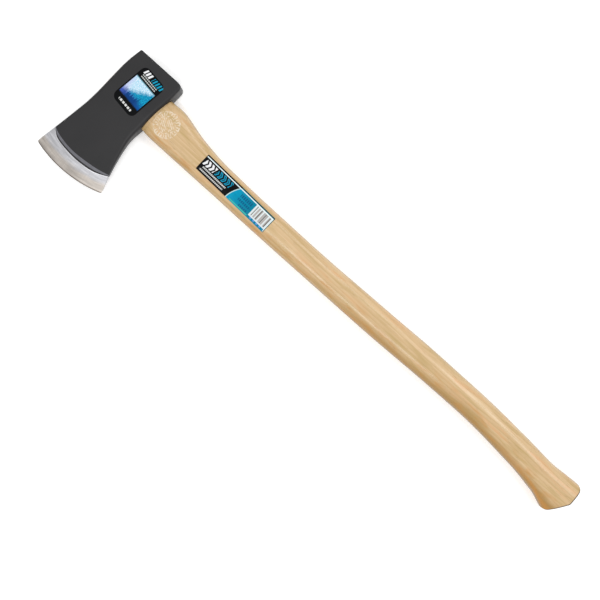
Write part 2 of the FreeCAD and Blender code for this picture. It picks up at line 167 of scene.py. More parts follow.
@dataclass(frozen=True)
class Line:
    """A smooth line through measured points: a natural cubic spline.

    Attributes:
        at: where the points are, rising.
        value: the value at each.
    """

    at: tuple[float, ...]
    value: tuple[float, ...]

    def __call__(self, t: np.ndarray) -> np.ndarray:
        """The line's value at t, which is held inside the line's ends.

        Args:
            t: where the line is read, held inside its ends.

        Returns:
            The line's value at each.
        """
        x, y = np.array(self.at, float), np.array(self.value, float)
        h = np.diff(x)
        n = len(x)
        a, b = np.eye(n), np.zeros(n)
        for i in range(1, n - 1):
            a[i, i - 1], a[i, i], a[i, i + 1] = h[i - 1], 2 * (h[i - 1] + h[i]), h[i]
            b[i] = 6 * ((y[i + 1] - y[i]) / h[i] - (y[i] - y[i - 1]) / h[i - 1])
        m = np.linalg.solve(a, b)
        t = np.clip(np.asarray(t, float), x[0], x[-1])
        i = np.clip(np.searchsorted(x, t) - 1, 0, n - 2)
        lo, hi = x[i + 1] - t, t - x[i]
        return ((m[i] * lo ** 3 + m[i + 1] * hi ** 3) / (6 * h[i])
                + (y[i] / h[i] - m[i] * h[i] / 6) * lo + (y[i + 1] / h[i] - m[i + 1] * h[i] / 6) * hi)


def mix(a: Amount, b: Amount, share: Amount) -> Amount:
    """The value that is share of the way from a to b."""
    return a + (b - a) * share


def ease(t: np.ndarray) -> np.ndarray:
    """Smooth step from 0 to 1 as t goes from 0 to 1."""
    t = np.clip(t, 0, 1)
    return t * t * (3 - 2 * t)


@dataclass(frozen=True)
class Datum:
    """The middle of the head's eye in the shared frame, in metres: the sizes below count from it.

    Attributes:
        x: along the handle.
        y: from the edge to the poll.
        z: up.
    """

    x: float
    y: float
    z: float

    @classmethod
    def from_frame(cls, handle_reach: float, poll_reach: float) -> "Datum":
        """Find the eye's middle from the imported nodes.

        Args:
            handle_reach: from the eye's middle to the knob's end face, in mm.
            poll_reach: from the eye's middle to the poll's face, in mm.

        Returns:
            The datum.
        """
        low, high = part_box("axe_head")
        return cls(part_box("handle")[1].x - handle_reach * MM, high.y - poll_reach * MM,
                   (low.z + high.z) / 2)

    def place(self, points: np.ndarray) -> np.ndarray:
        """Points in millimetres from the eye's middle, as metres in the shared frame."""
        return np.asarray(points, float) * MM + np.array([self.x, self.y, self.z])

    def at(self, x: float, y: float, z: float = 0.0) -> tuple[float, float, float]:
        """One point in millimetres from the eye's middle, as metres in the shared frame."""
        return tuple(self.place(np.array([x, y, z])))


def make_object(name: str, points: np.ndarray, faces: list, materials: Sequence,
                finish_of: Optional[Sequence[int]] = None) -> Body:
    """Make a mesh object from points and faces.

    Args:
        name: the object's name.
        points: vertices, in metres in the shared frame.
        faces: vertex numbers of each face.
        materials: materials for its slots.
        finish_of: slot number of each face.

    Returns:
        The object, linked to the scene, with its faces turned outwards.
    """
    mesh = bpy.data.meshes.new(name)
    mesh.from_pydata([tuple(p) for p in points], [], faces)
    for material in materials:
        mesh.materials.append(material)
    if finish_of is not None:
        mesh.polygons.foreach_set("material_index", np.array(finish_of, np.int32))
    work = bmesh.new()
    work.from_mesh(mesh)
    bmesh.ops.recalc_face_normals(work, faces=work.faces)
    work.to_mesh(mesh)
    work.free()
    body = bpy.data.objects.new(name, mesh)
    bpy.context.scene.collection.objects.link(body)
    return body


def within_cad(points: np.ndarray) -> np.ndarray:
    """Points held inside the CAD model's box, against a hair of difference between two curves."""
    return np.clip(points, np.array(CAD_BOX[0]) + 1e-5, np.array(CAD_BOX[1]) - 1e-5)


def shade(body: Body, crease_degrees: float) -> None:
    """Shade a mesh smoothly, with every edge steeper than the given angle left sharp.

    Args:
        body: the object.
        crease_degrees: the steepest edge that is still shaded smoothly.
    """
    work = bmesh.new()
    work.from_mesh(body.data)
    limit = math.radians(crease_degrees)
    for face in work.faces:
        face.smooth = True
    for edge in work.edges:
        edge.smooth = len(edge.link_faces) == 2 and edge.calc_face_angle(0.0) < limit
    work.to_mesh(body.data)
    work.free()


def carve(body: Body, cutter: Body) -> None:
    """Cut one mesh out of another for good.

    Args:
        body: what is cut.
        cutter: what is taken away; it is removed afterwards.
    """
    step = body.modifiers.new("carve", "BOOLEAN")
    step.operation, step.solver, step.object = "DIFFERENCE", "EXACT", cutter
    bpy.context.view_layer.update()
    cut = bpy.data.meshes.new_from_object(body.evaluated_get(bpy.context.evaluated_depsgraph_get()))
    old = body.data
    body.modifiers.remove(step)
    body.data = cut
    cut.name = old.name
    bpy.data.meshes.remove(old)
    bpy.data.objects.remove(cutter)


def skin_of(rings: Sequence[np.ndarray]) -> tuple[np.ndarray, list, list]:
    """Join rings that mirror about Z = 0 into a closed skin.

    Each ring is given as its upper half, from one end on Z = 0 to the other end on Z = 0. The two
    end rings are closed straight across from the upper half to the lower.

    Args:
        rings: upper half rings, each (count, 3) in millimetres.

    Returns:
        Points, faces, and the band number of each face (ring number, or -1 and -2 for the caps).
    """
    half = len(rings[0])
    full = 2 * half - 2
    points, faces, bands = [], [], []
    for ring in rings:
        mirrored = ring[-2:0:-1] * np.array([1, 1, -1])
        points.append(np.concatenate([ring, mirrored]))
    for j in range(len(rings) - 1):
        a, b = j * full, (j + 1) * full
        for i in range(full):
            k = (i + 1) % full
            faces.append((a + i, a + k, b + k, b + i))
            bands.append(j)
    for start, band in ((0, -1), ((len(rings) - 1) * full, -2)):
        for i in range(half - 1):
            loop = [start + i, start + i + 1, start + (full - i - 1) % full, start + (full - i) % full]
            faces.append(tuple(dict.fromkeys(loop)))
            bands.append(band)
    return np.concatenate(points), faces, bands


# ---- finishes ------------------------------------------------------------------------------------
@dataclass(frozen=True)
class BakedPaint:
    """Black baked enamel, sprayed over the forging.

    It gives a deep, even, slightly warm black with a satin sheen, a fine orange peel, and the
    forging's shallow unevenness showing through where it catches the light.

    Attributes:
        colour: the paint.
        peel_mm: width of the orange peel's dimples, drawn coarse enough to show.
        forge_mm: width of the hammer and die unevenness under the paint.
    """

    name: str = "enamel_black_baked"
    colour: str = "131315"
    dusty: str = "1e1d1f"
    peel_mm: float = 1.6
    forge_mm: float = 34.0

    def make(self) -> Material:
        """Build the material.

        Returns:
            The material.
        """
        material, tree, place = new_material(self.name)
        peel = add_node(tree, "TexNoise", {
            "Vector": place, "Scale": 1000 / self.peel_mm, "Detail": 2.0, "Roughness": 0.4})
        forge = add_node(tree, "TexNoise", {
            "Vector": place, "Scale": 1000 / self.forge_mm, "Detail": 3.0, "Roughness": 0.45})
        tone = add_node(tree, "Mix", {
            0: forge.outputs["Fac"], 6: linear(self.colour), 7: linear(self.dusty)}, data_type="RGBA")
        sheen = add_node(tree, "MapRange", {
            "Value": forge.outputs["Fac"], "From Min": 0.3, "From Max": 0.7, "To Min": 0.40,
            "To Max": 0.50})
        uneven = add_node(tree, "Bump", {
            "Height": forge.outputs["Fac"], "Strength": 0.5, "Distance": 0.0009})
        skin = add_node(tree, "Bump", {
            "Height": peel.outputs["Fac"], "Strength": 0.25, "Distance": 0.00012,
            "Normal": uneven.outputs["Normal"]})
        close_material(tree, {
            "Base Color": tone.outputs[2], "Roughness": sheen.outputs["Result"], "IOR": 1.45,
            "Normal": skin.outputs["Normal"]})
        return material


@dataclass(frozen=True)
class GroundSteel:
    """High-carbon steel, bare, ground on a belt across the edge.

    It gives a pale silver band with fine scratches running from the edge to the paint, warmer and
    duller on the last bevel, where the finer belt leaves it slightly heat-tinted.

    Attributes:
        centre: middle of the edge's sweep, in the shared frame.
        sweep: radius of the edge's sweep, in metres.
        fine: width of the last bevel, in metres.
        scratch_mm: spacing of the belt's scratches, drawn coarse enough to show.
        ragged: how far the last bevel's border wanders, in metres.
        fade: how wide that border is, in metres.
        edge_shade_from: where the painted shade of the honed edge starts, back from the edge, in metres.
        edge_shade_to: where it is darkest, back from the edge, in metres.
        toe_reflection_from: X from the centre where the toe's painted reflection, light and dark
            patches, starts, in metres.
        toe_reflection_to: X from the centre where it is strongest, in metres.
    """

    centre: tuple[float, float, float]
    sweep: float
    fine: float
    name: str = "steel_bevel_belt_ground"
    bright: str = "bebec2"
    warm: str = "b7b0a9"
    worn: str = "6a6058"
    scratch_mm: float = 0.9
    ragged: float = 0.008
    # worn: the colour of the painted shade along the honed edge
    fade: float = 0.0075
    edge_shade_from: float = 0.0022
    edge_shade_to: float = 0.0006
    toe_reflection_from: float = -0.020
    toe_reflection_to: float = -0.050

    def make(self) -> Material:
        """Build the material.

        Returns:
            The material.
        """
        material, tree, place = new_material(self.name)
        spoke = add_node(tree, "VectorMath", {0: place, 1: self.centre},
                         operation="SUBTRACT")
        part = add_node(tree, "SeparateXYZ", {0: spoke.outputs[0]})
        flat = add_node(tree, "CombineXYZ", {
            "X": part.outputs["X"], "Y": part.outputs["Y"], "Z": 0.0})
        reach = add_node(tree, "VectorMath", {0: flat.outputs[0]}, operation="LENGTH")
        turn = add_node(tree, "Math", {0: part.outputs["X"], 1: part.outputs["Y"]},
                        operation="ARCTAN2")
        along = add_node(tree, "Math", {0: turn.outputs[0], 1: self.sweep},
                         operation="MULTIPLY")
        belt = add_node(tree, "CombineXYZ", {
            "X": along.outputs[0], "Y": reach.outputs["Value"], "Z": 0.0})
        scratch = streaks(tree, belt.outputs[0], (1000 / self.scratch_mm, 40.0, 1.0), 4.0, 0.6)
        cloud = streaks(tree, belt.outputs[0], (34.0, 260.0, 1.0), 3.0, 0.55)
        start = self.sweep - self.fine
        ragged = add_node(tree, "Math", {
            0: cloud, 1: self.ragged, 2: reach.outputs["Value"]}, operation="MULTIPLY_ADD")
        last = add_node(tree, "MapRange", {
            "Value": ragged.outputs[0], "From Min": start - 0.0005, "From Max": start + self.fade},
            interpolation_type="SMOOTHSTEP")
        tint = add_node(tree, "Mix", {
            0: last.outputs["Result"], 6: linear(self.bright), 7: linear(self.warm)},
            data_type="RGBA")
        streak = add_node(tree, "MapRange", {
            "Value": scratch, "From Min": 0.25, "From Max": 0.75, "To Min": 0.86,
            "To Max": 1.08})
        stain = add_node(tree, "MapRange", {
            "Value": cloud, "From Min": 0.3, "From Max": 0.7, "To Min": 0.76,
            "To Max": 1.16})
        # Painted shade: the steel darkens over the last two millimetres to the edge.
        lip = add_node(tree, "MapRange", {
            "Value": reach.outputs["Value"], "From Min": self.sweep - self.edge_shade_from,
            "From Max": self.sweep - self.edge_shade_to})
        edge_shaded = add_node(tree, "Mix", {
            0: lip.outputs["Result"], 6: tint.outputs[2], 7: linear(self.worn)}, data_type="RGBA")
        tone = add_node(tree, "VectorMath", {
            0: edge_shaded.outputs[2], 1: streak.outputs["Result"]}, operation="MULTIPLY")
        # Painted reflection: light and dark patches towards the toe, over the steel's stain.
        toe = add_node(tree, "MapRange", {
            "Value": part.outputs["X"], "From Min": self.toe_reflection_from, "From Max": self.toe_reflection_to})
        cloudy = streaks(tree, belt.outputs[0], (22.0, 150.0, 1.0), 1.0)
        uneven = add_node(tree, "MapRange", {
            "Value": cloudy, "From Min": 0.38, "From Max": 0.62, "To Min": -0.22,
            "To Max": 0.20})
        sheen = add_node(tree, "Math", {
            0: toe.outputs["Result"], 1: uneven.outputs["Result"], 2: stain.outputs["Result"]},
            operation="MULTIPLY_ADD")
        final = add_node(tree, "VectorMath", {
            0: tone.outputs[0], 1: sheen.outputs[0]}, operation="MULTIPLY")
        dull = add_node(tree, "MapRange", {
            "Value": scratch, "From Min": 0.25, "From Max": 0.75, "To Min": 0.36,
            "To Max": 0.50})
        furrow = add_node(tree, "Bump", {
            "Height": scratch, "Strength": 0.3, "Distance": 0.00008})
        close_material(tree, {
            "Base Color": final.outputs[0], "Metallic": 1.0, "Roughness": dull.outputs["Result"],
            "Normal": furrow.outputs["Normal"]})
        return material


@dataclass(frozen=True)
class LacqueredHickory:
    """Straight-grained hickory, turned, sanded and dipped in clear lacquer.

    It gives a pale honey wood with long grain lines that close into pointed arches where the side
    is cut flat, olive and rosy flames, painted shade as a browner band along the front with orange
    flecks, fine dark pores, painted shade on the flanks, growth rings on the sawn ends, a dark rolled
    rim round the knob's sawn face, its end grain deepened by painted shade, and a soft gloss over all.

    Attributes:
        datum: the eye's middle.
        end_x: X of the knob's end, in mm from the eye's middle.
        ring_mm: width of a year's growth.
        pore_mm: width of a pore, drawn coarse enough to show.
        fibre_mm: width of the finest grain lines.
        pith: Y and Z of the tree's pith, in mm from the eye's middle.
        stamp_at: X and Y of the pressed mark, in mm from the eye's middle.
        stamp_rings: radius and half width of the mark's rings, in metres.
        stamp_crown: radius and half width of its toothed crown, in metres.
        stamp_disc: radius of its hatched disc, in metres.
        stamp_teeth: how many teeth a half turn holds.
    """

    datum: Datum
    end_x: float
    pale: str = "d1b286"
    honey: str = "b69560"
    olive: str = "b09356"
    rosy: str = "d09f6c"
    # front_shade: painted shade, the browner colour laid along the front side
    front_shade: str = "997021"
    ember: str = "b87d28"
    # painted shade: dark brown laid over the flanks
    flank_shade: str = "584526"
    pore: str = "8c6a40"
    stamp: str = "dccbb2"
    # rim: near-black brown, painted shade on the knob's rolled edge over its end grain
    rim: str = "3a2814"
    end_dark: str = "67451c"
    end_pale: str = "b3874c"
    ring_mm: float = 5.2
    pore_mm: float = 0.7
    fibre_mm: float = 1.7
    pith: tuple[float, float] = (-95.0, -62.0)
    stamp_at: tuple[float, float] = (64.5, -1.0)
    stamp_rings: tuple[tuple[float, float], ...] = ((0.0194, 0.0009), (0.0128, 0.0006))
    stamp_crown: tuple[float, float] = (0.0161, 0.0022)
    stamp_disc: float = 0.0112
    stamp_teeth: int = 28

    def rings(self, tree: Tree, place: Socket) -> Socket:
        """Distance from the tree's pith, wandering along the handle.

        Args:
            tree: the node tree.
            place: position in the shared frame.

        Returns:
            The distance, in growth rings.
        """
        wander = streaks(tree, place, (2.2, 14.0, 14.0), 2.0, 0.45)
        pith = self.datum.at(0.0, *self.pith)
        arm = add_node(tree, "VectorMath", {0: place, 1: (0.0, pith[1], pith[2])},
                       operation="SUBTRACT")
        cross = add_node(tree, "VectorMath", {0: arm.outputs[0], 1: (0.012, 1.0, 1.0)},
                         operation="MULTIPLY")
        reach = add_node(tree, "VectorMath", {0: cross.outputs[0]}, operation="LENGTH")
        shift = add_node(tree, "Math", {
            0: wander, 1: 0.030, 2: reach.outputs["Value"]}, operation="MULTIPLY_ADD")
        return add_node(tree, "Math", {
            0: shift.outputs[0], 1: 1000 / self.ring_mm}, operation="MULTIPLY").outputs[0]

    def stamp_mask(self, tree: Tree, place: Socket) -> Socket:
        """Pale pressed mark on the shoulder: a toothed crown round a hatched disc.

        Args:
            tree: the node tree.
            place: position in the shared frame.

        Returns:
            1 inside the mark, 0 outside.
        """
        middle = self.datum.at(*self.stamp_at)
        arm = add_node(tree, "VectorMath", {0: place, 1: (middle[0], middle[1], 0.0)},
                       operation="SUBTRACT")
        part = add_node(tree, "SeparateXYZ", {0: arm.outputs[0]})
        flat = add_node(tree, "CombineXYZ", {
            "X": part.outputs["X"], "Y": part.outputs["Y"], "Z": 0.0})
        clean = add_node(tree, "VectorMath", {0: flat.outputs[0]}, operation="LENGTH")
        blur = add_node(tree, "TexNoise", {"Vector": place, "Scale": 330.0, "Detail": 2.0})
        smear = add_node(tree, "Math", {
            0: blur.outputs["Fac"], 1: 0.0036, 2: clean.outputs["Value"]}, operation="MULTIPLY_ADD")
        reach = add_node(tree, "Math", {0: smear.outputs[0], 1: 0.0018},
                         operation="SUBTRACT").outputs[0]
        turn = add_node(tree, "Math", {0: part.outputs["Y"], 1: part.outputs["X"]},
                        operation="ARCTAN2")
        rings = []
        for radius, half in self.stamp_rings:
            rings.append(add_node(tree, "Math", {0: reach, 1: radius, 2: half},
                                  operation="COMPARE").outputs[0])
        tooth = add_node(tree, "Math", {0: turn.outputs[0], 1: math.pi / self.stamp_teeth},
                         operation="PINGPONG")
        ticks = add_node(tree, "Math", {0: tooth.outputs[0], 1: math.pi / 52},
                         operation="LESS_THAN")
        radius, half = self.stamp_crown
        crown = add_node(tree, "Math", {0: reach, 1: radius, 2: half}, operation="COMPARE")
        disc = add_node(tree, "Math", {0: reach, 1: self.stamp_disc}, operation="LESS_THAN")
        slant = add_node(tree, "Math", {0: part.outputs["X"], 1: 0.6, 2: part.outputs["Y"]},
                         operation="MULTIPLY_ADD")
        hatch = add_node(tree, "Math", {0: slant.outputs[0], 1: 0.0016},
                         operation="PINGPONG")
        bar = add_node(tree, "Math", {0: hatch.outputs[0], 1: 0.0009},
                       operation="LESS_THAN")
        toothed = add_node(tree, "Math", {0: crown.outputs[0], 1: ticks.outputs[0]},
                           operation="MULTIPLY")
        hatched = add_node(tree, "Math", {0: disc.outputs[0], 1: bar.outputs[0]},
                           operation="MULTIPLY")
        whole = add_node(tree, "Math", {0: rings[0], 1: rings[1]}, operation="MAXIMUM")
        for mark in (toothed, hatched):
            whole = add_node(tree, "Math", {0: whole.outputs[0], 1: mark.outputs[0]},
                             operation="MAXIMUM")
        upper = add_node(tree, "Math", {0: part.outputs["Z"], 1: self.datum.z + 0.004},
                         operation="GREATER_THAN")
        patchy = add_node(tree, "TexNoise", {"Vector": place, "Scale": 240.0, "Detail": 2.0})
        worn = add_node(tree, "MapRange", {
            "Value": patchy.outputs["Fac"], "From Min": 0.40, "From Max": 0.58, "To Min": 0.06,
            "To Max": 1.0})
        pressed = add_node(tree, "Math", {0: whole.outputs[0], 1: upper.outputs[0]},
                           operation="MULTIPLY")
        return add_node(tree, "Math", {0: pressed.outputs[0], 1: worn.outputs["Result"]},
                        operation="MULTIPLY").outputs[0]

    def front_shade_masks(self, tree: Tree, place: Socket) -> tuple[Socket, Socket]:
        """Painted shade along the front side, and an orange streak down the knob's heel.

        Args:
            tree: the node tree.
            place: position in the shared frame.

        Returns:
            Share of the painted front shade and share of the streak, 0 to 1.
        """
        part = add_node(tree, "SeparateXYZ", {0: place})
        ragged = streaks(tree, place, (9.0, 60.0, 60.0), 3.0)
        sway = add_node(tree, "Math", {0: ragged, 1: -0.014, 2: part.outputs["Y"]},
                        operation="MULTIPLY_ADD")
        end, front = self.end_x * MM, self.datum.y
        along = {}
        for name, start, stop, low, high in (
                ("widen", 0.34, 0.64, 0.0, 0.010), ("leave", 0.68, 0.84, 0.0, 0.019),
                ("strength", 0.34, 0.60, 0.35, 0.92), ("begin", end - 0.096, end - 0.062, 0.0, 1.0)):
            along[name] = add_node(tree, "MapRange", {
                "Value": part.outputs["X"], "From Min": self.datum.x + start,
                "From Max": self.datum.x + stop, "To Min": low, "To Max": high}).outputs["Result"]
        border = add_node(tree, "Math", {0: along["widen"], 1: along["leave"]},
                          operation="SUBTRACT")
        inside = add_node(tree, "Math", {0: sway.outputs[0], 1: border.outputs[0]},
                          operation="SUBTRACT")
        # Painted shade: the front side is darkened and browned, more strongly towards the knob.
        reach = add_node(tree, "MapRange", {
            "Value": inside.outputs[0], "From Min": front - 0.026, "From Max": front - 0.039})
        edge = add_node(tree, "Math", {0: reach.outputs["Result"], 1: along["strength"]},
                        operation="MULTIPLY").outputs[0]
        course = add_node(tree, "MapRange", {
            "Value": part.outputs["X"], "From Min": self.datum.x + end - 0.086,
            "From Max": self.datum.x + end - 0.016, "To Min": front - 0.037,
            "To Max": front - 0.053}, interpolation_type="SMOOTHSTEP")
        off = add_node(tree, "Math", {0: sway.outputs[0], 1: course.outputs["Result"]},
                       operation="SUBTRACT")
        away = add_node(tree, "Math", {0: off.outputs[0]}, operation="ABSOLUTE")
        core = add_node(tree, "MapRange", {
            "Value": away.outputs[0], "From Min": 0.0050, "From Max": 0.0, "To Max": 0.85})
        streak = add_node(tree, "Math", {0: core.outputs["Result"], 1: along["begin"]},
                          operation="MULTIPLY")
        warm = add_node(tree, "MapRange", {
            "Value": streaks(tree, place, (38.0, 150.0, 150.0)), "From Min": 0.50,
            "From Max": 0.70, "To Max": 0.55})
        band = add_node(tree, "MapRange", {
            "Value": inside.outputs[0], "From Min": front - 0.020, "From Max": front - 0.028})
        patchy = add_node(tree, "Math", {
            0: warm.outputs["Result"], 1: band.outputs["Result"]}, operation="MULTIPLY")
        glow = add_node(tree, "Math", {0: streak.outputs[0], 1: patchy.outputs[0]},
                        operation="MAXIMUM").outputs[0]
        return edge, glow

    def rim_shade_mask(self, tree: Tree, place: Socket, lean: Socket, tilt: Socket) -> Socket:
        """Where the knob's edge rolls over into its sawn face, end grain deepened by painted shade.

        Args:
            tree: the node tree.
            place: position in the shared frame.
            lean: how far the surface faces along X.
            tilt: how far it faces up or down.

        Returns:
            1 on the rolled edge, 0 elsewhere.
        """
        spot = add_node(tree, "SeparateXYZ", {0: place})
        tip = add_node(tree, "Math", {
            0: spot.outputs["X"], 1: self.datum.x + (self.end_x - 34) * MM}, operation="GREATER_THAN")
        mask = tip.outputs[0]
        for value, low, high in ((lean, 0.04, 0.22), (tilt, 0.08, 0.30)):
            share = add_node(tree, "MapRange", {
                "Value": value, "From Min": low, "From Max": high})
            mask = add_node(tree, "Math", {0: share.outputs["Result"], 1: mask},
                            operation="MULTIPLY").outputs[0]
        return mask

    def year_levels(self, tree: Tree, place: Socket) -> Socket:
        """How light the wood is through one year's growth.

        Args:
            tree: the node tree.
            place: position in the shared frame.

        Returns:
            A grey: dark early wood, rising to light late wood.
        """
        ring = add_node(tree, "Math", {0: self.rings(tree, place)}, operation="FRACT")
        year = add_node(tree, "ValToRGB", {"Fac": ring.outputs[0]})
        stops = year.color_ramp.elements
        stops[0].position, stops[1].position = 0.0, 1.0
        stops[0].color, stops[1].color = (0.62, 0.62, 0.62, 1), (0.55, 0.55, 0.55, 1)
        for position, level in ((0.10, 0.25), (0.24, 0.5), (0.55, 0.62), (0.92, 0.72)):
            stops.new(position).color = (level, level, level, 1)
        return year.outputs["Color"]

    def flames(self, tree: Tree, place: Socket) -> tuple[Socket, Socket]:
        """Long olive and rosy patches, drawn out along the grain.

        Args:
            tree: the node tree.
            place: position in the shared frame.

        Returns:
            Share of olive and share of rosy.
        """
        patch = add_node(tree, "Mapping", {
            "Vector": place, "Rotation": (0.0, 0.0, -0.03), "Scale": (15.0, 125.0, 125.0)})
        flame = add_node(tree, "TexNoise", {
            "Vector": patch.outputs[0], "Scale": 1.0, "Detail": 2.0, "Roughness": 0.5,
            "Distortion": 0.4})
        olive, rosy = [add_node(tree, "MapRange", {
            "Value": flame.outputs["Fac"], "From Min": low, "From Max": high,
            "To Max": most}).outputs["Result"] for low, high, most in (
                (0.47, 0.30, 0.65), (0.53, 0.70, 0.68))]
        return olive, rosy

    def make(self) -> Material:
        """Build the material.

        Returns:
            The material.
        """
        material, tree, place = new_material("hickory_lacquered")
        normal = add_node(tree, "NewGeometry").outputs["Normal"]
        facing = add_node(tree, "SeparateXYZ", {0: normal})
        along, tilt = [add_node(tree, "Math", {0: facing.outputs[axis]},
                                operation="ABSOLUTE").outputs[0] for axis in ("X", "Z")]
        end_grain = add_node(tree, "MapRange", {
            "Value": along, "From Min": 0.30, "From Max": 0.62})
        # Painted shade: where the surface faces sideways, towards the outline, the wood is darkened.
        flank_shade = add_node(tree, "MapRange", {
            "Value": tilt, "From Min": 0.56, "From Max": 0.18, "To Max": 0.85})
        year = self.year_levels(tree, place)
        fibre = streaks(tree, place, (16.0, 1000 / self.fibre_mm, 1000 / self.fibre_mm), 4.0, 0.6)
        board = streaks(tree, place, (5.0, 85.0, 85.0), 3.0)
        pores = streaks(tree, place, (90.0, 1000 / self.pore_mm, 1000 / self.pore_mm), 1.0)
        pore = add_node(tree, "MapRange", {
            "Value": pores, "From Min": 0.66, "From Max": 0.76, "To Min": 0.0,
            "To Max": 0.55}).outputs["Result"]
        level = -0.12
        for layer, weight in ((board, 0.75), (year, 0.55), (fibre, 0.5)):
            level = add_node(tree, "Math", {0: layer, 1: weight, 2: level},
                             operation="MULTIPLY_ADD").outputs[0]
        spread = add_node(tree, "MapRange", {
            "Value": level, "From Min": 0.50, "From Max": 1.0})
        tone = add_node(tree, "Mix", {
            0: spread.outputs["Result"], 6: linear(self.honey), 7: linear(self.pale)},
            data_type="RGBA").outputs[2]
        olive, rosy = self.flames(tree, place)
        # edge carries the painted shade along the front side
        edge, glow = self.front_shade_masks(tree, place)
        mark = self.stamp_mask(tree, place)
        for mask, colour in ((olive, self.olive), (rosy, self.rosy), (edge, self.front_shade),
                             (glow, self.ember), (pore, self.pore), (mark, self.stamp),
                             (flank_shade.outputs["Result"], self.flank_shade)):
            tone = add_node(tree, "Mix", {0: mask, 6: tone, 7: linear(colour)},
                            data_type="RGBA").outputs[2]
        end_ring = add_node(tree, "Mix", {
            0: year, 6: linear(self.end_dark), 7: linear(self.end_pale)}, data_type="RGBA")
        ended = add_node(tree, "Mix", {
            0: end_grain.outputs["Result"], 6: tone, 7: end_ring.outputs[2]}, data_type="RGBA")
        # Painted shade: the knob's rolled edge is laid near-black over its end grain.
        rim_shaded = add_node(tree, "Mix", {
            0: self.rim_shade_mask(tree, place, facing.outputs["X"], tilt), 6: ended.outputs[2],
            7: linear(self.rim)}, data_type="RGBA")
        relief = add_node(tree, "Math", {0: pore, 1: -1.0, 2: fibre},
                          operation="MULTIPLY_ADD")
        grain = add_node(tree, "Bump", {
            "Height": relief.outputs[0], "Strength": 0.25, "Distance": 0.0001})
        dull = add_node(tree, "MapRange", {
            "Value": fibre, "From Min": 0.3, "From Max": 0.7, "To Min": 0.42, "To Max": 0.54})
        close_material(tree, {
            "Base Color": rim_shaded.outputs[2], "Roughness": dull.outputs["Result"], "IOR": 1.5,
            "Coat Weight": 0.7, "Coat Roughness": 0.19, "Coat IOR": 1.5,
            "Normal": grain.outputs["Normal"]})
        return material


@dataclass(frozen=True)
class SawnWedgeWood:
    """Hardwood wedge, sawn, driven dry into the kerf.

    It gives a slightly redder, duller wood than the handle, with saw-torn end fibres.

    Attributes:
        fibre_mm: width of a fibre bundle, drawn coarse enough to show.
    """

    pale: str = "c89a67"
    dark: str = "8f6238"
    fibre_mm: float = 0.8

    def make(self) -> Material:
        """Build the material.

        Returns:
            The material.
        """
        material, tree, place = new_material("beech_wedge_sawn")
        fibre = streaks(tree, place, (60.0, 1000 / self.fibre_mm, 1000 / self.fibre_mm), 3.0, 0.6)
        spread = add_node(tree, "MapRange", {
            "Value": fibre, "From Min": 0.3, "From Max": 0.7})
        tone = add_node(tree, "Mix", {
            0: spread.outputs["Result"], 6: linear(self.dark), 7: linear(self.pale)},
            data_type="RGBA")
        torn = add_node(tree, "Bump", {
            "Height": fibre, "Strength": 0.5, "Distance": 0.0003})
        close_material(tree, {
            "Base Color": tone.outputs[2], "Roughness": 0.72, "IOR": 1.5,
            "Normal": torn.outputs["Normal"]})
        return material


@dataclass(frozen=True)
class RolledSteel:
    """Mild steel wedge, hot rolled, its top bruised bright by the hammer.

    It gives a blue-grey scale with small bright dents.

    Attributes:
        scale_mm: width of a fleck of mill scale.
    """

    bare: str = "a9a8aa"
    scale: str = "55565c"
    scale_mm: float = 2.2

    def make(self) -> Material:
        """Build the material.

        Returns:
            The material.
        """
        material, tree, place = new_material("mild_steel_hot_rolled")
        fleck = add_node(tree, "TexNoise", {
            "Vector": place, "Scale": 1000 / self.scale_mm, "Detail": 4.0, "Roughness": 0.6})
        share = add_node(tree, "MapRange", {
            "Value": fleck.outputs["Fac"], "From Min": 0.42, "From Max": 0.62})
        tone = add_node(tree, "Mix", {
            0: share.outputs["Result"], 6: linear(self.scale), 7: linear(self.bare)},
            data_type="RGBA")
        dull = add_node(tree, "MapRange", {
            "Value": fleck.outputs["Fac"], "From Min": 0.42, "From Max": 0.62, "To Min": 0.62,
            "To Max": 0.32})
        dent = add_node(tree, "Bump", {
            "Height": fleck.outputs["Fac"], "Strength": 0.4, "Distance": 0.0003})
        close_material(tree, {
            "Base Color": tone.outputs[2], "Metallic": 1.0, "Roughness": dull.outputs["Result"],
            "Normal": dent.outputs["Normal"]})
        return material


